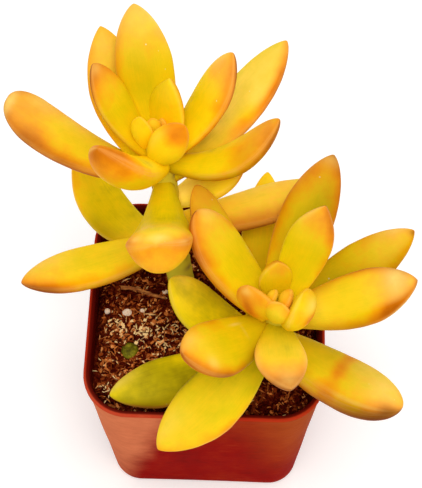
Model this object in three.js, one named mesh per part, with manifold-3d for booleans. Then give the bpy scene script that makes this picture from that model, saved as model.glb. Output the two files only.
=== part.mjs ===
// Potted coppertone sedum: two rooted cuttings in a small square nursery pot.
// Millimetres, +Z up, the front of the pot towards -Y, the origin under the middle of the pot.
import * as THREE from 'three'
import Module from 'manifold-3d'
import { mergeVertices } from 'three/addons/utils/BufferGeometryUtils.js'

const wasm = await Module()
wasm.setup()

// Driving dimensions
const potWidth = 54
const potHeight = 56
const potFootWidth = 46
const potCornerRadius = 10
const potFootCornerRadius = 7
const potWall = 1.1
const potFloor = 1.6
const potFootRound = 3.5
const lipHeight = 1.6
const lipReach = 0.35
const drainRadius = 1.8
const drainSpacing = 24
const soilLevel = 52.6
const soilRelief = 0.5
const clearance = 0.3

// Mesh fineness
const cornerSteps = 5
const leafSides = 12
const stemSides = 12
const youngSides = 8
const soilRings = 6

// Each stem is a curve through these points with a radius at each of them
const stems = {
  stem_left: {
    points: [[-5, 3.8, 44], [-6, 6, 56], [-7.8, 10.5, 70], [-9.5, 15.5, 84], [-11, 19, 95]],
    radii: [3.1, 3, 2.9, 2.8, 2.4]
  },
  stem_right: {
    points: [[9.5, -11, 44], [10.5, -11.2, 56], [12.8, -12, 68], [15, -12.8, 79], [15.8, -13.2, 85.5]],
    radii: [3.2, 3.1, 3, 2.8, 2.3]
  }
}

// How a leaf swells from its seat and closes at its tip, along 0 to 1
const leafForm = {
  widest: 0.58, // where the outline is widest
  neck: 0.42, // outline at the seat, as a share of the full width
  taper: 0.72, // how fast the outline closes: less is blunter
  thickTo: 0.45, // where the thickness starts to fall
  tipRound: 0.62, // how fast the thickness closes
  keel: 1.25 // section of the two faces: more is flatter towards the margins
}
const seatDepth = 1.6
const seatThickness = 0.7
const upperShare = 0.3
const channel = 0.25

// Each leaf grows from its stem at the height seat, with its tip at a point
const leaves = {
  stem_left: [
    { name: 'under_back', seat: 64, tip: [-31, 32, 72], width: 11.6, thick: 6, bow: -2, sway: -3.7 },
    { name: 'under_side', seat: 70, tip: [-39.5, -5, 76], width: 12.5, thick: 6.5, bow: -2, sway: 1.2 },
    { name: 'reaching', seat: 74, tip: [25.5, 20, 79.6], width: 11.5, thick: 6.5, bow: -1, sway: 0.5 },
    { name: 'under_right', seat: 80, tip: [7.6, 22.6, 86], width: 11, thick: 5.5, bow: -1 },
    {
      name: 'hanging', seat: 85, tip: [-9.5, -9, 102.8], width: 13.4, thick: 9.8, bow: -4,
      form: { widest: 0.8, neck: 0.36, taper: 0.5, thickTo: 0.8, tipRound: 0.5, keel: 1.6 }
    },
    {
      name: 'right_long', seat: 86.5, tip: [15.9, 44.5, 98], width: 12.6, thick: 5.5, bow: -3, sway: -0.6,
      form: { taper: 0.72 }
    },
    {
      name: 'back_low', seat: 86, tip: [-24, 42.5, 104], width: 12.4, thick: 5.2, bow: -2, sway: -1.4,
      form: { taper: 0.8 }
    },
    {
      name: 'side_long', seat: 87, tip: [-43.2, 27.4, 98], width: 13, thick: 6.5, bow: -3, sway: -0.4,
      form: { widest: 0.78, taper: 0.42, neck: 0.3 }
    },
    {
      name: 'right_low', seat: 90.5, tip: [14.4, 20.6, 103.4], width: 9.6, thick: 5.8, bow: -3, sway: 2.7,
      form: { widest: 0.64, taper: 0.72 }
    },
    { name: 'back_tall', seat: 90, tip: [-16.5, 42.5, 112], width: 12.2, thick: 5.6, bow: -1.5 },
    {
      name: 'front_steep', seat: 91, tip: [-21.3, 7.1, 112], width: 11.6, thick: 7.4, bow: -2,
      form: { neck: 0.6 }
    },
    { name: 'side_inner', seat: 92, tip: [-24, 28.5, 110], width: 9.6, thick: 4.6, bow: -1.5, sway: 0.6 },
    {
      name: 'right_inner', seat: 92, tip: [4.4, 32.2, 110], width: 11.6, thick: 5.2, bow: -2, sway: -0.5,
      form: { taper: 0.75, widest: 0.6 }
    },
    {
      name: 'heart_front', seat: 92, root: [-11, 17, 93], tip: [-4.8, 17.6, 104.6], width: 7.8, thick: 5,
      bow: -1.2, roll: -100, form: { widest: 0.5, taper: 0.6 }
    },
    {
      name: 'heart_back', seat: 94, tip: [-8.5, 27.5, 107], width: 10.4, thick: 4, bow: -1, sway: -1,
      form: { widest: 0.38, taper: 1 }
    },
    {
      name: 'heart_side', seat: 94.5, root: [-13, 20, 93.5], tip: [-14.3, 20.4, 103.2], width: 5, thick: 3,
      bow: -0.6, roll: -20, form: { taper: 0.8 }
    }
  ],
  stem_right: [
    { name: 'on_soil', seat: 57, tip: [-20.5, -23, 58], width: 11.2, thick: 6.5, bow: 0, sway: -0.8 },
    { name: 'under_back', seat: 63, tip: [12.9, 26.3, 73], width: 10, thick: 5, bow: -1 },
    { name: 'under_left', seat: 66, tip: [-7.5, -5, 80], width: 10.8, thick: 6, bow: -2, sway: -1 },
    {
      name: 'front_long', seat: 70, tip: [-9, -36.5, 62], width: 13.4, thick: 6.5, bow: 1, sway: -1.6,
      form: { widest: 0.54, neck: 0.62 }
    },
    {
      name: 'side_low', seat: 71, tip: [42, -28.5, 70], width: 13.6, thick: 9, bow: -2, sway: -0.7,
      roll: -22, form: { widest: 0.62, taper: 0.52, keel: 1, thickTo: 0.6 }
    },
    {
      name: 'left_behind', seat: 74, tip: [-2.7, 13.5, 88], width: 9.4, thick: 5, bow: -1, sway: -1,
      form: { taper: 0.6 }
    },
    { name: 'side_back', seat: 76, tip: [44.5, 8.5, 80], width: 11, thick: 5.5, bow: -2 },
    {
      name: 'back_tall', seat: 77, tip: [26.4, 20, 91.4], width: 11.8, thick: 5.5, bow: -2, sway: -0.6,
      form: { neck: 0.6 }
    },
    { name: 'front_left', seat: 78, tip: [-3.6, -26.4, 90], width: 12.5, thick: 7, bow: -2, sway: -1 },
    {
      name: 'side_high', seat: 80, tip: [43.3, -8.5, 90], width: 12.2, thick: 5.5, bow: -2,
      form: { taper: 0.75 }
    },
    {
      name: 'left_high', seat: 80, tip: [-2.1, 2, 97], width: 13.2, thick: 8, bow: -2, sway: 1.3, roll: 22,
      form: { widest: 0.6, neck: 0.5, taper: 0.6 }
    },
    {
      name: 'front', seat: 80, tip: [18, -31.5, 86], width: 10.8, thick: 5, bow: -1.5, sway: 0.4,
      form: { widest: 0.46, taper: 1 }
    },
    { name: 'back_inner', seat: 82, tip: [24, 2.5, 100], width: 9.8, thick: 5, bow: -2, form: { taper: 0.9 } },
    { name: 'heart_left', seat: 82, tip: [8.9, -12.8, 93.8], width: 8.4, thick: 4, bow: -1, roll: 75 },
    {
      name: 'heart_right', seat: 83, root: [17, -16, 84.5], tip: [20, -13.4, 92.9], width: 9.8, thick: 5,
      bow: -1, roll: -90, form: { widest: 0.5, taper: 0.55 }
    },
    {
      name: 'heart_back', seat: 83.5, tip: [14.7, -7.4, 93.8], width: 7.2, thick: 3.8, bow: -1,
      form: { widest: 0.5, taper: 0.95 }
    }
  ]
}

// The heart of each rosette: a growing tip with its youngest leaves
const hearts = {
  stem_left: {
    rise: 1.5,
    radius: 2.2,
    young: [
      { seat: 96, tip: [-12, 21.4, 101.2], width: 3.4, thick: 1.8, bow: -0.3 },
      { seat: 96, tip: [-10, 22.5, 99.6], width: 2.4, thick: 1.5, bow: -0.3 },
      { seat: 96, tip: [-13, 20.5, 99.6], width: 2.2, thick: 1.5, bow: -0.3 }
    ]
  },
  stem_right: {
    rise: 1.2,
    radius: 2,
    young: [
      { seat: 84.5, tip: [15.6, -16.4, 93.4], width: 6, thick: 3.4, bow: -0.6 },
      { seat: 85, tip: [17.5, -13.8, 92], width: 4.2, thick: 2.6, bow: -0.4 },
      { seat: 86, tip: [14.5, -13, 91], width: 2.4, thick: 1.6, bow: -0.2 }
    ]
  }
}

// Loose things on the soil: place, radii and turn about the upright
const grains = [
  { at: [-18.3, -0.7], radii: [1.1, 0.85, 0.75], turn: 10 },
  { at: [-22.9, -0.3], radii: [0.7, 0.65, 0.6], turn: 70 },
  { at: [-14.9, 0.2], radii: [0.6, 0.5, 0.5], turn: 0 },
  { at: [-9.9, 5.1], radii: [0.9, 0.65, 0.6], turn: 30 }
]
const grainSink = 0.25
const twigPoints = [[-20.1, 5.5, 0.7], [-16.6, 5.2, 0.9], [-13, 4.2, 0.8], [-9.8, 3.4, 1]]
const twigRadius = 0.46
const fallenLeaf = { at: [-17.2, -9.7], radii: [2.1, 2, 1.2], turn: 15, sink: 0.5 }

function material (color, roughness) {
  return new THREE.MeshStandardMaterial({ color, roughness, metalness: 0 })
}

const plastic = material(0xa83c28, 0.45)
const earth = material(0x3a1c12, 1)
const perlite = material(0xe9d9c4, 0.9)
const bark = material(0x7a4a2a, 0.8)
const stemGreen = material(0xb2a83a, 0.6)
const leafGold = material(0xdcb81c, 0.5)
const leafCopper = material(0xe39a20, 0.5)
const leafGreen = material(0x9aa428, 0.55)

// A closed body from a stack of rings with the same number of points in each
function loft (rings) {
  const sides = rings[0].length
  const first = middle(rings[0])
  const last = middle(rings[rings.length - 1])
  const points = [first, ...rings.flat(), last]
  const end = points.length - 1
  const faces = []
  for (let side = 0; side < sides; side++) {
    const next = (side + 1) % sides
    faces.push(0, 1 + next, 1 + side)
    for (let ring = 0; ring < rings.length - 1; ring++) {
      const low = 1 + ring * sides
      const high = low + sides
      faces.push(low + side, low + next, high + next)
      faces.push(low + side, high + next, high + side)
    }
    faces.push(end, end - sides + side, end - sides + next)
  }
  const geometry = new THREE.BufferGeometry()
  geometry.setAttribute('position', new THREE.Float32BufferAttribute(points.flatMap(p => p.toArray()), 3))
  geometry.setIndex(faces)
  return geometry
}

function middle (ring) {
  const sum = new THREE.Vector3()
  ring.forEach(point => sum.add(point))
  return sum.divideScalar(ring.length)
}

// The library's closed solid for cutting and joining, and back again
function solid (geometry) {
  const bare = geometry.clone()
  bare.deleteAttribute('normal')
  bare.deleteAttribute('uv')
  const merged = mergeVertices(bare, 1e-4)
  const vertProperties = Float32Array.from(merged.attributes.position.array)
  const triVerts = Uint32Array.from(merged.index.array)
  return new wasm.Manifold(new wasm.Mesh({ numProp: 3, vertProperties, triVerts }))
}

function surface (body) {
  const mesh = body.getMesh()
  const geometry = new THREE.BufferGeometry()
  geometry.setAttribute('position', new THREE.BufferAttribute(mesh.vertProperties, 3))
  geometry.setIndex(new THREE.BufferAttribute(mesh.triVerts, 1))
  geometry.computeVertexNormals()
  return geometry
}

// Cutting can leave scraps: the largest body is the piece
function largest (body) {
  return body.decompose().sort((a, b) => b.volume() - a.volume())[0]
}

function point (x, y, z) {
  return new THREE.Vector3(x, y, z)
}

// Anticlockwise outline of a square with round corners, at the height z
function roundedSquare (width, radius, z) {
  const ring = []
  const reach = width / 2 - radius
  for (let corner = 0; corner < 4; corner++) {
    const turn = corner * Math.PI / 2
    const centre = point(reach, reach, z).applyAxisAngle(new THREE.Vector3(0, 0, 1), turn)
    for (let step = 0; step <= cornerSteps; step++) {
      const angle = turn + step / cornerSteps * Math.PI / 2
      ring.push(point(centre.x + radius * Math.cos(angle), centre.y + radius * Math.sin(angle), z))
    }
  }
  return ring
}

// Outline of the pot's tapering wall at the height z, moved in by inset
function potOutline (z, inset = 0) {
  const share = z / potHeight
  const width = potFootWidth + (potWidth - 2 * lipReach - potFootWidth) * share
  const radius = potFootCornerRadius + (potCornerRadius - potFootCornerRadius) * share
  return roundedSquare(width - 2 * inset, radius - inset, z)
}

function pot () {
  const outer = []
  const inner = []
  const roundSteps = 3
  for (let step = 0; step <= roundSteps; step++) {
    const angle = step / roundSteps * Math.PI / 2
    const z = potFootRound * (1 - Math.cos(angle))
    outer.push(potOutline(z, potFootRound * (1 - Math.sin(angle))))
    inner.push(potOutline(potFloor + z, potWall + potFootRound * (1 - Math.sin(angle))))
  }
  const underLip = potHeight - lipHeight
  outer.push(potOutline(underLip - lipReach), potOutline(underLip, -lipReach))
  outer.push(potOutline(potHeight - lipReach, -lipReach), potOutline(potHeight, 0))
  inner.push(potOutline(potHeight + 1, potWall))
  let body = solid(loft(outer)).subtract(solid(loft(inner)))
  for (const x of [-drainSpacing / 2, drainSpacing / 2]) {
    for (const y of [-drainSpacing / 2, drainSpacing / 2]) {
      const hole = new THREE.CylinderGeometry(drainRadius, drainRadius, 3 * potFloor, 16)
      hole.rotateX(Math.PI / 2)
      hole.translate(x, y, potFloor / 2)
      body = body.subtract(solid(hole))
    }
  }
  return body
}

// Height of the uneven soil at a place
function soilHeight (x, y) {
  const broad = Math.sin(0.31 * x + 1.2) * Math.cos(0.27 * y - 0.6)
  const fine = Math.sin(0.93 * x - 0.7 * y) * 0.45
  return soilLevel + soilRelief * (broad + fine)
}

function soil () {
  const inset = potWall + clearance
  const rings = []
  const roundSteps = 2
  for (let step = 0; step <= roundSteps; step++) {
    const angle = step / roundSteps * Math.PI / 2
    const z = potFootRound * (1 - Math.cos(angle))
    const narrow = inset + potFootRound * (1 - Math.sin(angle))
    rings.push(potOutline(potFloor + clearance + z, narrow))
  }
  const rim = potOutline(soilLevel, inset)
  for (let ring = 0; ring < soilRings; ring++) {
    const share = 1 - ring / soilRings
    rings.push(rim.map(p => point(p.x * share, p.y * share, soilHeight(p.x * share, p.y * share))))
  }
  return solid(loft(rings))
}

// A point of the stem's middle line at a height, and the way the stem runs there
function stemPlace (stem, z) {
  const { points } = stems[stem]
  let step = 1
  while (step < points.length - 1 && points[step][2] < z) step++
  const low = point(...points[step - 1])
  const high = point(...points[step])
  const centre = low.clone().lerp(high, (z - low.z) / (high.z - low.z))
  return { centre, along: high.sub(low).normalize() }
}

function stemSolid (stem, grow = 0) {
  const { points, radii } = stems[stem]
  const curve = new THREE.CatmullRomCurve3(points.map(p => point(...p)), false, 'catmullrom', 0.5)
  const steps = 3 * (points.length - 1)
  const rings = []
  for (let step = 0; step <= steps; step++) {
    const along = step / steps
    const centre = curve.getPoint(along)
    const tangent = curve.getTangent(along)
    const span = Math.min(Math.floor(along * (radii.length - 1)), radii.length - 2)
    const radius = THREE.MathUtils.lerp(radii[span], radii[span + 1], along * (radii.length - 1) - span) + grow
    const across = new THREE.Vector3(1, 0, 0).projectOnPlane(tangent).normalize()
    const aside = tangent.clone().cross(across)
    if (step === 0) centre.addScaledVector(tangent, -grow)
    if (step === steps) centre.addScaledVector(tangent, grow)
    rings.push(circle(centre, across, aside, radius, radius, stemSides))
  }
  return solid(loft(rings))
}

function circle (centre, across, aside, reachAcross, reachAside, sides) {
  const ring = []
  for (let side = 0; side < sides; side++) {
    const angle = side / sides * 2 * Math.PI
    const place = centre.clone().addScaledVector(across, reachAcross * Math.cos(angle))
    ring.push(place.addScaledVector(aside, reachAside * Math.sin(angle)))
  }
  return ring
}

// Outline and thickness of a leaf along its length, as shares of the full width and thickness
function leafShares (form, along) {
  const opening = Math.min(along / form.widest, 1)
  const closing = Math.max((along - form.widest) / (1 - form.widest), 0)
  const swell = form.neck + (1 - form.neck) * Math.sin(Math.PI / 2 * opening) ** 1.1
  const fill = Math.min(along / 0.45, 1)
  const thin = Math.max((along - form.thickTo) / (1 - form.thickTo), 0)
  const plump = seatThickness + (1 - seatThickness) * Math.sin(Math.PI / 2 * fill)
  return {
    outline: swell * Math.max(1 - closing ** 2, 0) ** form.taper,
    thickness: plump * Math.max(1 - thin ** 2.3, 0) ** form.tipRound
  }
}

// A leaf: flat channelled upper face, rounded keel below, sharp margins and a pointed tip
function leafSolid (stem, leaf, grow = 0, sides = leafSides) {
  const form = { ...leafForm, ...leaf.form }
  const { centre, along } = stemPlace(stem, leaf.seat)
  const tip = point(...leaf.tip)
  const outward = tip.clone().sub(centre).projectOnPlane(along).normalize()
  const root = leaf.root ? point(...leaf.root) : centre.addScaledVector(outward, seatDepth)
  const length = root.distanceTo(tip)
  const run = tip.clone().sub(root).normalize()
  const up = along.clone().projectOnPlane(run).normalize()
  up.applyAxisAngle(run, THREE.MathUtils.degToRad(leaf.roll ?? 0))
  const aside = run.clone().cross(up)
  const middleLine = share => root.clone()
    .addScaledVector(run, length * share)
    .addScaledVector(up, leaf.bow * Math.sin(Math.PI * share ** 0.9))
    .addScaledVector(aside, (leaf.sway ?? 0) * Math.sin(Math.PI * share))
  const shares = [0, 0.12, 0.26, 0.42, 0.58, 0.73, 0.85, 0.93, 0.98, 1]
  const rings = shares.map(share => {
    const { outline, thickness } = leafShares(form, Math.min(share, 0.998))
    const ahead = middleLine(Math.min(share + 0.01, 1))
    const behind = middleLine(Math.max(share - 0.01, 0))
    const normal = aside.clone().cross(ahead.sub(behind).normalize()).normalize()
    const place = middleLine(share)
    if (share === 1) place.addScaledVector(run, grow)
    if (share === 0) place.addScaledVector(run, -grow)
    const ring = []
    for (let side = 0; side < sides; side++) {
      const angle = -side / sides * 2 * Math.PI
      const rise = Math.abs(Math.sin(angle)) ** form.keel
      const upper = upperShare * rise * (1 - channel * rise ** 2)
      const lower = -(1 - upperShare) * rise
      const height = (Math.sin(angle) > 0 ? upper : lower) * leaf.thick * thickness
      const reach = (leaf.width / 2 * outline + grow) * Math.cos(angle)
      const offset = place.clone().addScaledVector(aside, reach)
      ring.push(offset.addScaledVector(normal, height + grow * Math.sin(angle)))
    }
    return ring
  })
  return solid(loft(rings))
}

// A growing tip on the end of its stem with the youngest leaves joined to it
function heartSolid (stem, grow = 0) {
  const { rise, radius, young } = hearts[stem]
  const end = stems[stem].points.at(-1)
  const dome = new THREE.SphereGeometry(radius + grow, 12, 8)
  dome.translate(end[0], end[1], end[2] + rise)
  let body = solid(dome)
  for (const leaf of young) body = body.add(leafSolid(stem, leaf, grow, youngSides))
  return body
}

// An uneven pebble shape sunk into the soil
function pebbleSolid ({ at, radii, turn, sink = grainSink }, grow = 0) {
  const [x, y] = at
  const geometry = new THREE.IcosahedronGeometry(1, 1)
  geometry.scale(...radii.map(radius => radius + grow))
  geometry.rotateZ(THREE.MathUtils.degToRad(turn))
  geometry.translate(x, y, soilHeight(x, y) + radii[2] * (1 - 2 * sink))
  return solid(geometry)
}

function twigSolid (grow = 0) {
  const path = new THREE.CatmullRomCurve3(twigPoints.map(([x, y, z]) => point(x, y, soilHeight(x, y) + z)))
  const section = new THREE.Shape().absarc(0, 0, twigRadius + grow, 0, 2 * Math.PI)
  return solid(new THREE.ExtrudeGeometry(section, { extrudePath: path, steps: 8, curveSegments: 6 }))
}

// Every piece is cut clear of the pieces placed before it
const placed = []

function place (name, body, grown, look) {
  let piece = body
  for (const other of placed) piece = piece.subtract(other)
  placed.push(grown)
  const mesh = new THREE.Mesh(surface(largest(piece)), look)
  mesh.name = name
  return mesh
}

function leafLook (leaf, stem) {
  if (leaf.name.startsWith('heart')) return leafCopper
  return leaf.seat < stems[stem].points[3][2] - 5 ? leafGreen : leafGold
}

const group = new THREE.Group()
group.add(place('pot', pot(), pot(), plastic))
for (const stem of Object.keys(stems)) {
  group.add(place(stem, stemSolid(stem), stemSolid(stem, clearance), stemGreen))
}
grains.forEach((grain, index) => {
  const name = `perlite_grain_${index + 1}`
  group.add(place(name, pebbleSolid(grain), pebbleSolid(grain, clearance), perlite))
})
group.add(place('twig', twigSolid(), twigSolid(clearance), bark))
group.add(place('fallen_leaf', pebbleSolid(fallenLeaf), pebbleSolid(fallenLeaf, clearance), leafGreen))
for (const stem of Object.keys(stems)) {
  const side = stem.replace('stem_', '')
  for (const leaf of leaves[stem]) {
    const name = `${side}_leaf_${leaf.name}`
    group.add(place(name, leafSolid(stem, leaf), leafSolid(stem, leaf, clearance), leafLook(leaf, stem)))
  }
  group.add(place(`${side}_heart`, heartSolid(stem), heartSolid(stem, clearance), leafCopper))
}
group.add(place('soil', soil(), soil(), earth))

export default group
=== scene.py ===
import bpy
import numpy as np
from mathutils import Matrix, Vector


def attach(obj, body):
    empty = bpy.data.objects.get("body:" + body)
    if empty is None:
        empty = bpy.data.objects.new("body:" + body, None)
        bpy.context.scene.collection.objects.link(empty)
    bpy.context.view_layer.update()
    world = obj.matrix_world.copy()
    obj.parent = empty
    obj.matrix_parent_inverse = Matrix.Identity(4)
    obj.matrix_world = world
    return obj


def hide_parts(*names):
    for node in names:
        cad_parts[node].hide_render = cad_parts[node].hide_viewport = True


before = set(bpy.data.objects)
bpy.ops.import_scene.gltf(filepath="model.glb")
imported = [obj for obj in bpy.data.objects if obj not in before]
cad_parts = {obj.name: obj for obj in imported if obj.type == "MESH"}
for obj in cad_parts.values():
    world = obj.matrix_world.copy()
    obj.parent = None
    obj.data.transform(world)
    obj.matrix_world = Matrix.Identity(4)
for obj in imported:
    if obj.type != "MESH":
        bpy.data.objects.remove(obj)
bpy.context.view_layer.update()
mm = 0.001  # lengths are in millimetres here unless a note says otherwise, and the meshes are in metres


# Camera, floor and light

camera = {
    "azimuth": 2.2,  # degrees round the pot from the front towards +X
    "elevation": 62.0,
    "roll": -0.2,
    "target": (0.8, 5.8, 76.0),
    "distance": 300.0,
    "focalPixels": 1380.0,
    "pictureHeight": 488,
    "sensor": 36.0,
    "clip": (0.01, 20),  # metres
}
studio = {
    "floorWidth": 6000.0,
    "floorTone": (0.9, 0.9, 0.9, 1),
    "floorGlow": 0.28,
    "skyTone": (1.0, 0.99, 0.985, 1),
    "skyStrength": 0.62,
    "lampAim": (0, 0, 0.06),  # metres
    # place in metres, size in metres, power in watts, colour
    "lamps": {
        "keyLamp": ((0.02, -0.22, 0.78), 0.42, 2.7, (1.0, 0.96, 0.88)),
        "topLamp": ((0.10, 0.30, 0.80), 0.50, 0.8, (1.0, 0.98, 0.96)),
        "sideLamp": ((0.60, -0.35, 0.40), 0.40, 0.4, (1.0, 0.96, 0.92)),
    },
}


def addObject(name, data):
    made = bpy.data.objects.new(name, data)
    bpy.context.scene.collection.objects.link(made)
    return made


def addMesh(name, points, faces):
    mesh = bpy.data.meshes.new(name)
    mesh.from_pydata((points * mm).tolist(), [], faces)
    return addObject(name, mesh)


def makeCamera():
    turn, lift, roll = np.radians([camera["azimuth"], camera["elevation"], camera["roll"]])
    back = np.array([np.sin(turn) * np.cos(lift), -np.cos(turn) * np.cos(lift), np.sin(lift)])
    right = np.array([np.cos(turn), np.sin(turn), 0.0])
    up = np.cross(back, right)
    rolledRight = right * np.cos(roll) + up * np.sin(roll)
    rolledUp = up * np.cos(roll) - right * np.sin(roll)
    place = (np.array(camera["target"]) + back * camera["distance"]) * mm
    lens = bpy.data.cameras.new("camera")
    lens.sensor_width = camera["sensor"]
    lens.lens = camera["focalPixels"] * camera["sensor"] / camera["pictureHeight"]
    lens.clip_start, lens.clip_end = camera["clip"]
    eye = addObject("camera", lens)
    columns = np.stack([rolledRight, rolledUp, back, place], axis=1)
    eye.matrix_world = Matrix([*columns.tolist(), [0, 0, 0, 1]])
    bpy.context.scene.camera = eye


def makeSky():
    sky = bpy.data.worlds.new("sky")
    sky.use_nodes = True
    background = sky.node_tree.nodes["Background"]
    background.inputs["Color"].default_value = studio["skyTone"]
    background.inputs["Strength"].default_value = studio["skyStrength"]
    bpy.context.scene.world = sky
    bpy.context.scene.view_settings.view_transform = "Standard"


def makeLamps():  # square soft lights that face the plant
    for name, (place, size, power, tone) in studio["lamps"].items():
        light = bpy.data.lights.new(name, "AREA")
        light.size = size
        light.energy = power
        light.color = tone
        lamp = addObject(name, light)
        lamp.location = place
        aim = Vector(studio["lampAim"]) - Vector(place)
        lamp.rotation_euler = aim.to_track_quat("-Z", "Y").to_euler()


def makeFloor():
    corners = np.array([(-1, -1, 0), (1, -1, 0), (1, 1, 0), (-1, 1, 0)]) * studio["floorWidth"] / 2
    floor = addMesh("floor", corners, [(0, 1, 2, 3)])
    tone = studio["floorTone"]
    paper = Finish("floorPaper", Roughness=0.9, Base_Color=tone, Emission_Color=tone,
                   Emission_Strength=studio["floorGlow"])
    floor.data.materials.append(paper.material)


# Shader sums

class Wire:  # a shader socket: each + - or * on it adds one Math node
    def __init__(self, finish, socket):
        self.finish = finish
        self.socket = socket

    def sum(self, operation, *terms):
        return self.finish.node("Math", {"operation": operation}, dict(enumerate(terms)))

    def __add__(self, other):
        return self.sum("ADD", self, other)

    def __sub__(self, other):
        return self.sum("SUBTRACT", self, other)

    def __rsub__(self, other):
        return self.sum("SUBTRACT", other, self)

    def __mul__(self, other):
        return self.sum("MULTIPLY", self, other)

    __radd__ = __add__
    __rmul__ = __mul__

    def clipped(self):  # held between 0 and 1
        return self.sum("MINIMUM", self.sum("MAXIMUM", self, 0), 1)

    def step(self, low, high):  # 0 below low, 1 above high and smooth between them
        values = {"Value": self, "From Min": low, "From Max": high}
        return self.finish.node("MapRange", {"interpolation_type": "SMOOTHSTEP"}, values)


class Finish:  # one material: its shader, and the nodes that feed it
    def __init__(self, name, **constants):
        self.material = bpy.data.materials.new(name)
        self.material.use_nodes = True
        self.tree = self.material.node_tree
        self.shader = self.tree.nodes["Principled BSDF"]
        for socket, value in constants.items():
            self.feed(socket.replace("_", " "), value)

    def node(self, kind, settings=None, values=None, output=0):
        made = self.tree.nodes.new("ShaderNode" + kind)
        for name, value in (settings or {}).items():
            if name == "stops":
                self.setStops(made.color_ramp, value)
            else:
                setattr(made, name, value)
        for name, value in (values or {}).items():
            self.plug(made.inputs[name], value)
        return Wire(self, made.outputs[output])

    def plug(self, socket, value):
        if isinstance(value, Wire):
            self.tree.links.new(value.socket, socket)
        else:
            socket.default_value = value

    def setStops(self, ramp, stops):
        while len(ramp.elements) < len(stops):
            ramp.elements.new(1)
        for element, (position, tone) in zip(ramp.elements, stops):
            element.position = position
            element.color = (*tone, 1)

    def feed(self, name, value):
        self.plug(self.shader.inputs[name], value)

    def value(self, name):  # a number that the mesh carries at each point
        return self.node("Attribute", {"attribute_name": name}, output=2)

    def vector(self, name):
        return self.node("Attribute", {"attribute_name": name}, output=1)

    def place(self):  # metres on the object
        return self.node("TexCoord", output=3)

    def axis(self, vector, index):
        return self.node("SeparateXYZ", values={0: vector}, output=index)

    def stretched(self, vector, scale):
        return self.node("VectorMath", {"operation": "MULTIPLY"}, {0: vector, 1: scale})

    def noise(self, vector, size, detail=2.0, rough=0.5):
        # Cloudy values about 0.5, as large as size in the vector's own unit
        values = {"Vector": vector, "Scale": 1 / size, "Detail": detail, "Roughness": rough}
        return self.node("TexNoise", values=values)

    def cells(self, vector, size):  # distance to the nearest of scattered points, in sizes
        return self.node("TexVoronoi", values={"Vector": vector, "Scale": 1 / size})

    def blend(self, first, second, share):  # colours, first where share is 0
        first, second = [(*c, 1) if isinstance(c, tuple) else c for c in (first, second)]
        return self.node("Mix", {"data_type": "RGBA"}, {0: share, 6: first, 7: second}, 2)

    def ramp(self, share, stops):
        return self.node("ValToRGB", {"stops": stops}, {0: share})

    def finished(self, tone, height, depth):  # the colour, and the height 0 to 1 raised by depth
        self.feed("Base Color", tone)
        values = {"Height": height, "Distance": depth * mm, "Strength": 1.0}
        self.feed("Normal", self.node("Bump", values=values))
        return self


# Meshes

def closedGrid(points):
    # Rows of points that close on themselves, with a fan from each end row's middle to shut it
    rows, sides = points.shape[:2]
    ends = np.stack([points[0].mean(axis=0), points[-1].mean(axis=0)])
    low = np.arange(rows - 1)[:, None] * sides
    side = np.arange(sides)[None]
    ahead = (side + 1) % sides
    quads = np.stack([low + side, low + ahead, low + sides + ahead, low + sides + side], axis=-1)
    side, ahead = side[0], ahead[0]
    first, last = np.full(sides, rows * sides), np.full(sides, rows * sides + 1)
    top = (rows - 1) * sides
    fans = [np.stack([first, ahead, side], axis=1), np.stack([last, top + side, top + ahead], axis=1)]
    faces = quads.reshape(-1, 4).tolist() + np.concatenate(fans).tolist()
    return np.concatenate([points.reshape(-1, 3), ends]), faces


def gridValues(values):  # one for each of closedGrid's points, in its order
    ends = [values[row].mean(axis=0, keepdims=True) for row in (0, -1)]
    return np.concatenate([values.reshape(-1, *values.shape[2:]), *ends])


def joined(parts):  # several (points, faces) as one
    points, faces, start = [], [], 0
    for places, corners in parts:
        points.append(places)
        faces += [[corner + start for corner in face] for face in corners]
        start += len(places)
    return np.concatenate(points), faces


def makePiece(name, shape, finish, nodes=(), values=None, sharp=None):
    piece = addMesh(name, *shape)
    piece.data.shade_smooth()
    if sharp:
        piece.data.set_sharp_from_angle(angle=np.radians(sharp))
    for key, numbers in (values or {}).items():
        kind, field = ("FLOAT_VECTOR", "vector") if numbers.ndim == 2 else ("FLOAT", "value")
        layer = piece.data.attributes.new(key, kind, "POINT")
        layer.data.foreach_set(field, numbers.astype(np.float32).ravel())
    piece.data.materials.append(finish.material)
    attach(piece, "root")
    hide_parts(*nodes)
    return piece


def standFor(node, shape, finish, values=None):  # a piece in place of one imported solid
    first, *rest = node.split("_")
    name = first + "".join(word.capitalize() for word in rest)
    return makePiece(name, shape, finish, [node], values)


def unit(vector):
    return vector / np.linalg.norm(vector, axis=-1, keepdims=True)


def squareTo(vector, axis):  # the part of a vector that is square to an axis
    return vector - axis * (vector @ axis)


def roundTurn(count):  # angles spread evenly over a full turn
    return np.linspace(0, 2 * np.pi, count, endpoint=False)


def smooth(values, low, high):  # 0 below low, 1 above high, 3t^2 - 2t^3 between them
    share = np.clip((values - low) / (high - low), 0, 1)
    return share * share * (3 - 2 * share)


def swell(points, seed, length, waves=7):  # sum of sine waves of one length in seeded directions, -1 to 1
    random = np.random.default_rng(seed)
    ways = unit(random.normal(size=(waves, 3))) * 2 * np.pi / length
    phases = random.uniform(0, 2 * np.pi, waves)
    return np.sin(points @ ways.T + phases).sum(axis=-1) / waves


# Pot

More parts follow.
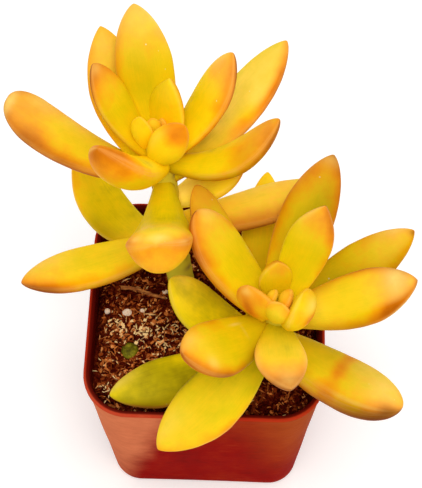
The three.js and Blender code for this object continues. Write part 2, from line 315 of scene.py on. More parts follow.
pot = {
    "width": 54.0, "height": 56.0, "footWidth": 46.0, "cornerRadius": 10.0, "footCornerRadius": 7.0,
    "wall": 1.1, "floor": 1.6, "footRound": 2.0,
    "lipHeight": 1.6, "lipReach": 0.35, "beadRound": 0.55,
    "drainRadius": 1.8, "drainSpacing": 24.0, "drainSides": 24,
    "buckle": 0.16, "buckleLength": 30.0,  # how far the thin wall strays from flat, in waves of this length
    "arch": 0.3,  # lift of the base edge between the corners
    "sharpEdge": 42,  # degrees from which an edge isn't shaded smooth
    "footRows": 7, "wallRows": 26, "beadRows": 9, "innerRows": 14,
    # the pale tone after brick is painted light on the front's left part, and the colour of scuffs
    "deepRed": (0.27, 0.002, 0.0006), "brick": (0.36, 0.020, 0.002), "chalk": (0.68, 0.20, 0.085),
    # the clay tone is a paler tint above, and painted light on the right
    "rust": (0.18, 0.002, 0.0006), "clay": (0.42, 0.085, 0.010), "rim": (0.48, 0.028, 0.010),
    # painted shade for the inside of the pot
    "shade": (0.075, 0.003, 0.002),
    "litEdge": (-6.5, -19.0),  # x where the painted light on the front ends at its soft shadow edge, at the lip and at the base
}
wallWidth = pot["width"] - 2 * pot["lipReach"]  # over the wall's outside at the lip


def squareOutline(width, radius, height, arcSteps=12, sideSteps=10):
    # Point = corner centre * (width / 2 - radius) + outward * radius, anticlockwise, for whole arrays of rows
    corner = np.repeat([[1, 1], [-1, 1], [-1, -1], [1, -1]], arcSteps + 1, axis=0).astype(float)
    angle = (np.arange(4)[:, None] + np.linspace(0, 1, arcSteps + 1)[None]).ravel() * np.pi / 2
    outward = np.stack([np.cos(angle), np.sin(angle)], axis=1)
    share = np.linspace(0, 1, sideSteps + 1)[1:-1, None]
    centres, outwards = [], []
    for turn in range(4):
        start, end = turn * (arcSteps + 1), (turn + 1) * (arcSteps + 1)
        following = end % len(corner)
        centres += [corner[start:end], corner[end - 1] * (1 - share) + corner[following] * share]
        outwards += [outward[start:end], np.repeat(outward[end - 1:end], sideSteps - 1, axis=0)]
    centres, outwards = np.concatenate(centres), np.concatenate(outwards)
    width, radius, height = [np.atleast_1d(x).astype(float)[:, None, None] for x in (width, radius, height)]
    flat = centres * (width / 2 - radius) + outwards * radius
    return np.concatenate([flat, np.broadcast_to(height, (*flat.shape[:2], 1))], axis=2)


def wallOutline(height, inset):  # the tapering wall's outline, moved in by inset
    share = height / pot["height"]
    width = pot["footWidth"] + (wallWidth - pot["footWidth"]) * share
    radius = pot["footCornerRadius"] + (pot["cornerRadius"] - pot["footCornerRadius"]) * share
    return squareOutline(width - 2 * inset, radius - inset, height)


def makePot():
    turn = np.linspace(0, np.pi / 2, pot["footRows"])
    footHeight = pot["footRound"] * (1 - np.cos(turn))
    footInset = pot["footRound"] * (1 - np.sin(turn))
    underLip = pot["height"] - pot["lipHeight"]
    wallHeight = np.linspace(pot["footRound"], underLip - pot["lipReach"], pot["wallRows"])[1:]
    # The lip steps out from the wall, and its bead swings over to the inside
    bead = np.linspace(0, np.pi, pot["beadRows"])
    beadHeight = pot["height"] - pot["beadRound"] + pot["beadRound"] * np.sin(bead)
    beadInset = -pot["lipReach"] + (pot["wall"] + pot["lipReach"]) * (1 - np.cos(bead)) / 2
    lipHeight = [underLip - 0.1, underLip + 0.15, *beadHeight]
    lipInset = [-0.05, -pot["lipReach"], *beadInset]
    innerHeight = np.linspace(pot["height"] - 1.5, pot["floor"] + pot["footRound"], pot["innerRows"])
    innerInset = np.full(pot["innerRows"], pot["wall"])
    floorHeight, floorInset = pot["floor"] + footHeight[::-1], pot["wall"] + footInset[::-1]
    height = np.concatenate([footHeight, wallHeight, lipHeight, innerHeight, floorHeight])
    inset = np.concatenate([footInset, wallHeight * 0, lipInset, innerInset, floorInset])
    points = wallOutline(height, inset)
    # The wall strays a little, less towards the base and lip, and the base edge arches between its corners
    middle = np.sin(np.pi * points[..., 2] / pot["height"])[..., None]
    stray = swell(points, 4, pot["buckleLength"])[..., None]
    points[..., :2] += unit(points[..., :2]) * middle * pot["buckle"] * stray
    nearness = smooth(np.abs(points[..., :2]).min(axis=-1), 18, 4) * smooth(points[..., 2], 6, 0)
    points[..., 2] += pot["arch"] * nearness
    # Painted shade: it starts on the bead's inner half and is full on the inner wall and floor
    overLip = smooth(inset, 0.05, 0.45) * (height > pot["height"] / 2)
    inner = np.arange(len(height)) >= len(height) - pot["innerRows"] - pot["footRows"]
    inside = np.broadcast_to(np.maximum(overLip, inner)[:, None], points.shape[:2])
    piece = standFor("pot", closedGrid(points), potPlastic(), {"inside": gridValues(inside)})
    drillHoles(piece)
    piece.data.set_sharp_from_angle(angle=np.radians(pot["sharpEdge"]))
    piece.data.polygons.foreach_set("use_smooth", [True] * len(piece.data.polygons))


def drillHoles(piece):  # four round drain holes, taken out of the floor with one cutter
    angle = roundTurn(pot["drainSides"])
    ring = np.stack([np.cos(angle), np.sin(angle)], axis=1) * pot["drainRadius"]
    cutters = []
    for x in (-0.5, 0.5):
        for y in (-0.5, 0.5):
            flat = ring + np.array([x, y]) * pot["drainSpacing"]
            cutters.append(closedGrid(np.stack([np.c_[flat, angle * 0 + z] for z in (-2.0, 4.0)])))
    drill = addMesh("drill", *joined(cutters))
    cut = piece.modifiers.new("holes", "BOOLEAN")
    cut.operation = "DIFFERENCE"
    cut.object = drill
    cut.solver = "EXACT"
    shaped = bpy.data.meshes.new_from_object(piece.evaluated_get(bpy.context.evaluated_depsgraph_get()))
    piece.modifiers.clear()
    old, piece.data = piece.data, shaped
    shaped.name = "pot"
    bpy.data.meshes.remove(old)
    bpy.data.objects.remove(drill)


def potPlastic():
    plastic = Finish("potPlastic", IOR=1.12, Specular_IOR_Level=0.02)
    place = plastic.place()
    x, y, z = (plastic.axis(place, index) for index in range(3))
    cloud = plastic.noise(place, 9 * mm, 4, 0.55)
    mottle = plastic.noise(plastic.stretched(place, (1, 1, 1.8)), 2.4 * mm, 4, 0.62)
    scuffLine = plastic.noise(plastic.stretched(place, (0.35, 0.35, 5)), 3 * mm, 4, 0.7)
    tone = plastic.ramp((cloud * 0.7 + mottle * 0.5 - 0.1).clipped(), [
        (0.25, pot["rust"]), (0.5, pot["deepRed"]), (0.85, pot["brick"]),
    ])
    # Clearer deep red below, and a paler clay tint above; towards the right the tint is painted light, where
    # that side is partly lit
    clay = z.step(30 * mm, 56 * mm) * 0.25 + x.step(6 * mm, 24 * mm) * z.step(4 * mm, 40 * mm) * 0.6
    tone = plastic.blend(tone, pot["clay"], (clay * (0.45 + cloud * 0.5 + mottle * 0.4)).clipped())
    # Painted light: the front's left part is paler where light falls on it, up to a soft slanting shadow
    # edge, and real scuffs add to the pale tone
    top, base = pot["litEdge"]
    edge = z * ((top - base) / pot["height"]) + base * mm
    paintedLight = (edge - x + (cloud - 0.5) * 7 * mm).step(-3 * mm, 4 * mm) * (y * -1).step(14 * mm, 21 * mm)
    scuff = scuffLine.step(0.56, 0.74) * cloud.step(0.42, 0.62) * 0.2
    chalk = (paintedLight * (0.3 + mottle * 0.4 + cloud * 0.25 + z.step(4 * mm, 30 * mm) * 0.2) + scuff).clipped()
    tone = plastic.blend(tone, pot["chalk"], chalk)
    # Painted highlight: the top of the lip is paler where light catches it
    tone = plastic.blend(tone, pot["rim"], z.step(55.0 * mm, 55.5 * mm) * (0.55 + mottle * 0.5))
    # Painted shade over the lip's inner half, the inner wall and the floor
    tone = plastic.blend(tone, pot["shade"], plastic.value("inside") * 0.94)
    plastic.feed("Roughness", (0.38 + chalk * 0.25 + mottle * 0.1).clipped())
    fine = plastic.noise(place, 0.5 * mm, 3, 0.6)
    return plastic.finished(tone, fine * 0.3 + scuffLine * 0.4 + cloud * 0.3, 0.1)


# Soil

soil = {
    "level": 52.6, "relief": 0.5, "gap": 0.3,
    "clods": 420, "clodSeed": 11, "clodSpread": 26,
    "clodRadius": (0.5, 1.9), "clodSunk": (0.55, 0.85), "clodShare": 0.8,
    "trench": 1.6, "trenchBand": (22.5, 25.5),  # depth of the gap along the wall, and where it sinks
    "rings": 58, "arcSteps": 22, "sideSteps": 26,
    "dark": (0.018, 0.0008, 0.0008), "earth": (0.095, 0.007, 0.002), "peat": (0.30, 0.058, 0.010),
    "tan": (0.80, 0.27, 0.065), "straw": (1.0, 0.74, 0.36),
    # painted light: the soil's bits are paler where light falls on them, round these places: x, y, reach and
    # how much paler
    "litPatches": [
        (-14, -5, 5.5, 1.0), (-20.5, -4, 3, 0.8), (-9.5, -8, 6.5, 0.7),
        (-22, -18, 5, 0.7), (-22, -11, 4, 0.4), (-13, 1, 4, 0.4),
    ],
}
# Loose bits lie at most as steep as steepest degrees, their tone is times gain plus paler, and edges past
# sharp degrees aren't shaded smooth
crumbs = {
    "name": "soilCrumbs", "slot": "soil", "seed": 21, "count": 1500, "inset": 2.2, "steepest": 40,
    "size": (0.22, 0.75), "gain": 0.9, "paler": 0, "sharp": 35,
}
strands = {
    "name": "coirStrands", "slot": "bark", "seed": 22, "count": 4800, "inset": 2.2, "steepest": 38,
    "length": (0.4, 1.5), "thick": (0.09, 0.19), "bend": 0.4, "arch": 0.7, "gain": 1, "paler": 0.12,
    "sharp": None,
}
chips = {
    "name": "barkChips", "slot": "bark", "seed": 23, "count": 900, "inset": 3.0, "steepest": 45,
    "sizes": [(0.5, 1.7), (0.3, 0.8), (0.1, 0.28)], "gain": 1, "paler": 0.1, "sharp": 30,
}


def soilHeight(x, y):  # level + relief * (slow waves + 0.45 * quicker waves)
    broad = np.sin(0.31 * x + 1.2) * np.cos(0.27 * y - 0.6)
    fine = np.sin(0.93 * x - 0.7 * y) * 0.45
    return soil["level"] + soil["relief"] * (broad + fine)


def insideRim(x, y, inset):  # true inside the rim's rounded square, moved in by inset
    radius = pot["cornerRadius"] - inset
    past = np.maximum(np.stack([np.abs(x), np.abs(y)]) - (wallWidth / 2 - inset - radius), 0)
    return np.hypot(*past) < radius


def clodHeight(x, y):  # height of the highest of many half-sunk balls, or of none
    random = np.random.default_rng(soil["clodSeed"])
    centre = random.uniform(-soil["clodSpread"], soil["clodSpread"], (soil["clods"], 2))
    radius = random.uniform(*soil["clodRadius"], soil["clods"])
    sunk = radius * random.uniform(*soil["clodSunk"], soil["clods"])
    apart = (x[..., None] - centre[:, 0]) ** 2 + (y[..., None] - centre[:, 1]) ** 2
    return (np.sqrt(np.maximum(radius ** 2 - apart, 0)) - sunk).max(axis=-1).clip(0)


def surfaceHeight(x, y):  # soil + clods + two sizes of swell, sinking into a trench along the wall
    flat = np.stack([x, y, x * 0], axis=-1)
    edge = np.maximum(np.abs(x), np.abs(y)) + 0.12 * np.minimum(np.abs(x), np.abs(y))
    height = soilHeight(x, y) + soil["clodShare"] * clodHeight(x, y)
    height = height + 0.15 * swell(flat, 5, 1.7, 11) + 0.3 * swell(flat, 6, 5.0)
    return height - soil["trench"] * smooth(edge, *soil["trenchBand"])


def makeSoil():
    inset = pot["wall"] + soil["gap"]
    turn = np.linspace(0, np.pi / 2, 4)
    low = pot["floor"] + soil["gap"] + pot["footRound"] * (1 - np.cos(turn))
    below = wallOutline(low, inset + pot["footRound"] * (1 - np.sin(turn)))
    width, radius = wallWidth - 2 * inset, pot["cornerRadius"] - inset
    rim = squareOutline(width, radius, soil["level"], soil["arcSteps"], soil["sideSteps"])
    # The side is the rim's outline scaled to each lower row's size and height, and the top is rings of it
    scale = below[..., :2].max(axis=(1, 2)) / rim[..., :2].max()
    lower = rim * scale[:, None, None]
    lower[..., 2] = below[:, :1, 2]
    top = rim * np.linspace(1, 0.02, soil["rings"])[:, None, None]
    top[..., 2] = surfaceHeight(top[..., 0], top[..., 1])
    standFor("soil", closedGrid(np.concatenate([lower, top])), soilGround())


def soilGround():
    ground = Finish("soilGround", Roughness=0.95, IOR=1.1, Specular_IOR_Level=0.1)
    place = ground.place()
    grain = ground.noise(place, 0.8 * mm, 5, 0.65)
    patch = ground.noise(place, 5 * mm, 3, 0.5)
    tone = ground.ramp((grain * 0.75 + patch * 0.35 - 0.08).clipped(), [
        (0.36, soil["dark"]), (0.52, soil["earth"]), (0.66, soil["peat"]), (0.80, soil["tan"]),
    ])
    return ground.finished(tone, grain, 0.5)


def soilBits():
    bits = Finish("soilBits", Roughness=0.8, IOR=1.1, Specular_IOR_Level=0.1)
    place = bits.place()
    grain = bits.noise(place, 0.35 * mm, 3, 0.6)
    tone = bits.ramp((bits.value("tone") + grain * 0.3 - 0.15).clipped(), [
        (0.0, soil["dark"]), (0.3, soil["earth"]), (0.58, soil["peat"]), (0.82, soil["tan"]),
        (1.0, soil["straw"]),
    ])
    return bits.finished(tone, grain, 0.08)


def scatter(bits):  # places spread over the soil, and the random numbers that go on from them
    random = np.random.default_rng(bits["seed"])
    places = random.uniform(-pot["width"] / 2, pot["width"] / 2, (bits["count"] * 3, 2))
    places = places[insideRim(*places.T, bits["inset"])][:bits["count"]]
    return random, places, len(places)


def lying(random, count, steepest):
    # Frames whose first axis points any way round, and up or down by at most steepest degrees
    turn = random.uniform(0, 2 * np.pi, count)
    lift = np.radians(steepest) * random.uniform(-1, 1, count) ** 3
    first = np.stack([np.cos(turn) * np.cos(lift), np.sin(turn) * np.cos(lift), np.sin(lift)], axis=1)
    third = unit(np.cross(first, np.stack([-np.sin(turn), np.cos(turn), turn * 0], axis=1)))
    second = np.cross(third, first)
    return np.stack([first, second, third], axis=2)


def toneOf(random, places):  # mostly dark, and paler with painted light at the lit patches
    x, y, reach, lightness = np.array(soil["litPatches"]).T
    apart = np.hypot(places[:, :1] - x, places[:, 1:] - y) / reach
    lit = (lightness * np.exp(-apart ** 2)).max(axis=1)
    count = len(places)
    return np.clip(random.beta(1.3, 2.2, count) * 0.9 + lit * random.uniform(-0.1, 1.0, count), 0, 1)


def layBits(bits, random, places, rise, shapes, sides):
    # Point = place on the soil + rise + frame * point of the shape, for every shape at once
    middles = np.c_[places, surfaceHeight(*places.T) + rise]
    frames = lying(random, len(places), bits["steepest"])
    points = np.einsum("nij,nkj->nki", frames, shapes) + middles[:, None]
    count, size = points.shape[:2]
    start = np.arange(count)[:, None, None] * size
    faces = []
    for corners in map(np.array, sides):
        faces += (start + corners).reshape(-1, corners.shape[1]).tolist()
    tone = np.clip(toneOf(random, places) * bits["gain"] + bits["paler"], 0, 1)
    shape, values = (points.reshape(-1, 3), faces), {"tone": np.repeat(tone, size)}
    makePiece(bits["name"], shape, bitsFinish, values=values, sharp=bits["sharp"])


def makeCrumbs():  # uneven lumps, each a 20-sided ball pushed in and out
    random, places, count = scatter(crumbs)
    golden = (1 + 5 ** 0.5) / 2
    third = np.array([[-1, golden, 0], [1, golden, 0], [-1, -golden, 0], [1, -golden, 0]])
    ball = unit(np.concatenate([np.roll(third, turn, axis=1) for turn in range(3)]))
    sides = [[0, 11, 5], [0, 5, 1], [0, 1, 7], [0, 7, 10], [0, 10, 11], [1, 5, 9], [5, 11, 4],
             [11, 10, 2], [10, 7, 6], [7, 1, 8], [3, 9, 4], [3, 4, 2], [3, 2, 6], [3, 6, 8],
             [3, 8, 9], [4, 9, 5], [2, 4, 11], [6, 2, 10], [8, 6, 7], [9, 8, 1]]
    size = random.uniform(*crumbs["size"], count) * random.uniform(0.6, 1, count)
    shapes = ball[None] * random.uniform(0.65, 1.15, (count, 12, 1)) * (size[:, None, None] * [1.2, 1, 0.75])
    layBits(crumbs, random, places, size * 0.25, shapes, [sides])


def makeStrands():  # coir strands: a bent three-sided thread in three spans, closed at its ends
    random, places, count = scatter(strands)
    length = random.uniform(*strands["length"], count) + random.uniform(0, 1.4, count) ** 6 * 0.2
    thick = random.uniform(*strands["thick"], count)
    along = np.linspace(-0.5, 0.5, 4)
    angle = np.arange(3) * 2 * np.pi / 3
    bow = 0.25 - along ** 2
    bend = (random.uniform(-strands["bend"], strands["bend"], count) * length)[:, None] * bow
    arch = (random.uniform(0, strands["arch"], count) * length)[:, None] * bow
    taper = np.array([0.5, 1, 1, 0.4])[None, :, None] * thick[:, None, None]
    x = np.broadcast_to((along * length[:, None])[..., None], (count, 4, 3))
    y = bend[..., None] + taper * np.cos(angle) * 1.4
    z = arch[..., None] + taper * np.sin(angle) * 0.8
    shapes = np.stack([x, y, z], axis=-1).reshape(count, 12, 3)
    spans = [[k + side, k + (side + 1) % 3, k + 3 + (side + 1) % 3, k + 3 + side]
             for k in (0, 3, 6) for side in range(3)]
    layBits(strands, random, places, thick * 0.9, shapes, [spans, [[2, 1, 0], [9, 10, 11]]])


def makeChips():  # thin flakes of bark and husk, each a box with its corners pushed in and out
    random, places, count = scatter(chips)
    square = ((-0.5, -0.5), (0.5, -0.5), (0.5, 0.5), (-0.5, 0.5))
    box = np.array([[x, y, z] for z in (-0.5, 0.5) for x, y in square])
    sides = [[3, 2, 1, 0], [4, 5, 6, 7], [0, 1, 5, 4], [1, 2, 6, 5], [2, 3, 7, 6], [3, 0, 4, 7]]
    size = np.stack([random.uniform(*span, count) for span in chips["sizes"]], axis=1)
    shapes = box[None] * random.uniform(0.6, 1.2, (count, 8, 1)) * size[:, None]
    layBits(chips, random, places, 0.22, shapes, [sides])


# Loose things on the soil

# dent is how wide the dents are and rough how deep, on a ball of radius 1
grains = {
    "perlite_grain_1": {"at": (-18.3, -0.7), "radii": (1.1, 0.85, 0.75), "turn": 10, "seed": 30},
    "perlite_grain_2": {"at": (-22.9, -0.3), "radii": (0.7, 0.65, 0.6), "turn": 70, "seed": 31},
    "perlite_grain_3": {"at": (-14.9, 0.2), "radii": (0.6, 0.5, 0.5), "turn": 0, "seed": 32},
    "perlite_grain_4": {"at": (-9.9, 5.1), "radii": (0.9, 0.65, 0.6), "turn": 30, "seed": 33},
}
everyGrain = {"sink": 0.25, "rough": 0.14, "dent": 1.9}
grainTones = {"shade": (0.80, 0.46, 0.26), "white": (1.0, 0.88, 0.74)}
twig = {
    "points": [(-20.1, 5.5, 0.7), (-16.6, 5.2, 0.9), (-13, 4.2, 0.8), (-9.8, 3.4, 1)],
    "radius": 0.46, "rings": 60, "sides": 18,
    "knots": [(0.42, 0.16), (0.8, 0.12)],  # place along the twig and how far each swells it
    "bark": (0.42, 0.13, 0.022), "ridge": (0.80, 0.38, 0.09), "crack": (0.09, 0.014, 0.004),
}
fallenLeaf = {
    "at": (-17.2, -9.7), "radii": (2.1, 2, 1.2), "turn": 15, "seed": 44,
    "sink": 0.5, "rough": 0.05, "dent": 2.2,
    "shade": (0.07, 0.06, 0.003), "green": (0.14, 0.13, 0.005), "faded": (0.31, 0.28, 0.014),
}


def ballGrid(rows=28, sides=36):  # a unit ball in rings from its lowest point
    rise = np.linspace(-np.pi / 2, np.pi / 2, rows + 2)[1:-1, None]
    turn = roundTurn(sides)[None]
    flat = np.cos(rise)
    return np.stack([flat * np.cos(turn), flat * np.sin(turn), np.sin(rise) + turn * 0], axis=-1)


def pebbleGrid(pebble):
    # A ball with coarse and fine dents, stretched to its radii, turned and sunk in the soil
    ball = ballGrid()
    rough, dent, seed = pebble["rough"], pebble["dent"], pebble["seed"]
    dents = rough * swell(ball, seed, dent, 9), rough * 0.5 * swell(ball, seed + 1, dent / 3, 9)
    x, y, z = np.moveaxis(ball * (1 + dents[0] + dents[1])[..., None] * pebble["radii"], -1, 0)
    turn = np.radians(pebble["turn"])
    placeX = pebble["at"][0] + x * np.cos(turn) - y * np.sin(turn)
    placeY = pebble["at"][1] + x * np.sin(turn) + y * np.cos(turn)
    height = soilHeight(*map(float, pebble["at"])) + pebble["radii"][2] * (1 - 2 * pebble["sink"])
    return np.stack([placeX, placeY, z + height], axis=-1)


def makeGrains():
    perlite = Finish("perliteSkin", Roughness=0.85, IOR=1.4)
    place = perlite.place()
    pits = perlite.cells(place, 0.45 * mm)
    dust = perlite.noise(place, 0.9 * mm, 3)
    # Painted shade: the grain is darker in its pits; dust varies the tone at random
    share = (pits * 0.9 + dust * 0.5).clipped()
    perlite.finished(perlite.blend(grainTones["shade"], grainTones["white"], share), pits, 0.12)
    for node, grain in grains.items():
        standFor(node, closedGrid(pebbleGrid({**everyGrain, **grain})), perlite)


def curveThrough(points, steps):
    # A smooth line through points: cubic spans, with half the way between a point's neighbours as its tangent
    points = np.asarray(points, float)
    padded = np.concatenate([[2 * points[0] - points[1]], points, [2 * points[-1] - points[-2]]])
    spot = np.linspace(0, len(points) - 1, steps)
    span = np.minimum(spot.astype(int), len(points) - 2)
    t = (spot - span)[:, None]
    before, start, end, after = (padded[span + k] for k in range(4))
    leave, arrive = (end - before) / 2, (after - start) / 2
    return (start + leave * t + (3 * (end - start) - 2 * leave - arrive) * t ** 2
            + (2 * (start - end) + leave + arrive) * t ** 3)


def tubeGrid(middle, radius, sides, first):
    # Rings square to the line, with a radius for each point, counted from the first direction
    run = unit(np.gradient(middle, axis=0))
    across = unit(np.array(first) - run * (run @ np.array(first))[:, None])
    aside = np.cross(run, across)
    angle = roundTurn(sides)[:, None]
    ring = across[:, None] * np.cos(angle) + aside[:, None] * np.sin(angle)
    return middle[:, None] + ring * radius[..., None]


def makeTwig():
    bark = Finish("twigBark", Roughness=0.75, IOR=1.4)
    place = bark.place()
    streak = bark.noise(bark.stretched(place, (0.35, 1.2, 1.2)), 0.5 * mm, 4, 0.6)
    cloud = bark.noise(place, 2 * mm, 2)
    tone = bark.ramp((streak * 0.8 + cloud * 0.3 - 0.05).clipped(), [
        (0.32, twig["crack"]), (0.52, twig["bark"]), (0.72, twig["ridge"]),
    ])
    bark.finished(tone, streak, 0.15)
    middle = curveThrough([(x, y, soilHeight(x, y) + z) for x, y, z in twig["points"]], twig["rings"])
    angle = roundTurn(twig["sides"])[None]
    along = np.linspace(0, 1, twig["rings"])[:, None]
    knots = sum(size * np.exp(-((along - at) / 0.03) ** 2) for at, size in twig["knots"])
    radius = twig["radius"] * (1.02 - 0.3 * along + knots + 0.08 * np.sin(5 * angle + 9 * along))
    standFor("twig", closedGrid(tubeGrid(middle, radius, twig["sides"], (0, 0, 1))), bark)


def makeFallenLeaf():
    skin = Finish("fallenLeafSkin", Roughness=0.55, IOR=1.4, Specular_IOR_Level=0.1)
    cloud = skin.noise(skin.place(), 1.3 * mm, 3, 0.6)
    tone = skin.ramp(cloud, [
        (0.35, fallenLeaf["shade"]), (0.52, fallenLeaf["green"]), (0.7, fallenLeaf["faded"]),
    ])
    skin.finished(tone, cloud, 0.25)
    standFor("fallen_leaf", closedGrid(pebbleGrid(fallenLeaf)), skin)


# Stems

stems = {
    "left": {
        "points": [(-5, 3.8, 44), (-6, 6, 56), (-7.8, 10.5, 70), (-9.5, 15.5, 84), (-11, 19, 95)],
        "radii": [3.1, 3, 2.9, 2.8, 2.4],
    },
    "right": {
        "points": [(9.5, -11, 44), (10.5, -11.2, 56), (12.8, -12, 68), (15, -12.8, 79), (15.8, -13.2, 85.5)],
        "radii": [3.2, 3.1, 3, 2.8, 2.3],
    },
}
stemRings = 120
stemSides = 32
# Leaf scars: slight bumps that climb the stem in turns, with their reach up the stem and round it in radians
scars = {"count": 14, "lowest": 47, "climb": 3.1, "turn": 2.4, "reach": (0.7, 0.38), "swell": 0.03}
stemTones = {
    "young": (0.78, 0.66, 0.035), "old": (0.46, 0.34, 0.05), "scar": (0.30, 0.16, 0.05),
    "cork": (0.22, 0.12, 0.05),
}


def stemPlace(side, height):  # a point on the stem's line at a height, and the way it runs there
    points = np.array(stems[side]["points"], float)
    step = 1
    while step < len(points) - 1 and points[step][2] < height:
        step += 1
    low, high = points[step - 1], points[step]
    return low + (high - low) * (height - low[2]) / (high[2] - low[2]), unit(high - low)


def stemSkin():
    skin = Finish("stemSkin", Roughness=0.5, IOR=1.3, Specular_IOR_Level=0.1)
    place = skin.place()
    cloud = skin.noise(place, 3 * mm, 3)
    streak = skin.noise(skin.stretched(place, (1, 1, 0.2)), 0.7 * mm, 3, 0.6)
    height = skin.axis(place, 2)
    fresh = (height + cloud * 12 * mm).step(50 * mm, 66 * mm)
    tone = skin.blend(stemTones["old"], stemTones["young"], fresh)
    woody = (1 - (height + streak * 8 * mm).step(54 * mm, 60 * mm)) * streak.step(0.35, 0.6)
    tone = skin.blend(tone, stemTones["cork"], woody * 0.8)
    tone = skin.blend(tone, stemTones["scar"], skin.value("scar") * 0.8)
    return skin.finished(tone, streak * 0.6 + cloud * 0.4, 0.15)


def makeStems():
    skin = stemSkin()
    angle = roundTurn(stemSides)[None]
    up, across = scars["reach"]
    for side, stem in stems.items():
        middle = curveThrough(stem["points"], stemRings)
        height = middle[:, 2:]
        count = len(stem["radii"])
        along = np.linspace(0, count - 1, stemRings)[:, None]
        radius = np.interp(along, np.arange(count), stem["radii"])
        scar = np.zeros((stemRings, stemSides))
        for step in range(scars["count"]):
            high, turn = scars["lowest"] + step * scars["climb"], step * scars["turn"]
            apart = np.angle(np.exp(1j * (angle - turn)))
            scar += np.exp(-((height - high) / up) ** 2 - (apart / across) ** 2)
        ribs = 0.02 * np.sin(3 * angle + along * 2) + 0.015 * np.sin(height * 2.1)
        grid = tubeGrid(middle, radius * (1 + ribs + scars["swell"] * scar), stemSides, (1, 0, 0))
        standFor(f"stem_{side}", closedGrid(grid), skin, {"scar": gridValues(np.minimum(scar, 1))})


# Leaves

# A leaf leaves its stem at the height seat and ends at the place tip. bow lifts its middle, and sway moves it
# to the leaf's right hand. ripe runs from olive 0 through gold 0.45 and orange 0.72 to rust 1, pale towards
# a pale tone that is partly a paler tint and partly painted highlight, and shade is painted light and shade,
# brightening above 1 and dimming below it: each is given at the seat, middle and tip. left, right and under
# ripen the margins at the leaf's left and right hand and its underside, and dim darkens the underside with
# painted shade. A spot adds an amount to ripe, pale or shade round a place: amount, place along, turn (0
# right margin, 0.25 upper face, 0.5 left margin, 0.75 keel), and its reach in each of the two. What an entry
# leaves out is as plainLeaf says
plainLeaf = {
    "sway": 0,
    "roll": 0,  # degrees
    "widest": 0.58,  # where the outline is widest, along 0 to 1
    "neck": 0.42,  # outline at the seat, as a share of the full width
    "taper": 0.72,  # how fast the outline closes: less is blunter
    "thickTo": 0.45,  # where the thickness starts to fall
    "tipRound": 0.62,  # how fast the thickness closes
    "keel": 1.25,  # section of the two faces: more is flatter towards the margins
    "ripe": (0.4, 0.4, 0.5), "pale": (0, 0, 0.1), "shade": (1, 1, 1),
    "left": 0.1, "right": 0.1, "under": 0.1, "dim": 0.25,
    "ripeSpots": [], "paleSpots": [], "shadeSpots": [],
}
seatDepth = 1.6
seatThickness = 0.7
fullFrom = 0.45  # where the thickness has grown full from the seat
sectionRound = 0.85  # softens the keel of every leaf
upperShare = 0.36  # of the thickness, above the middle line
channel = 0.08
marginReach = 3.6
rimWidth = 0.12
lastRing = 0.9985  # the last ring's place, just short of the tip
leafMesh = (64, 56)  # rings and sides

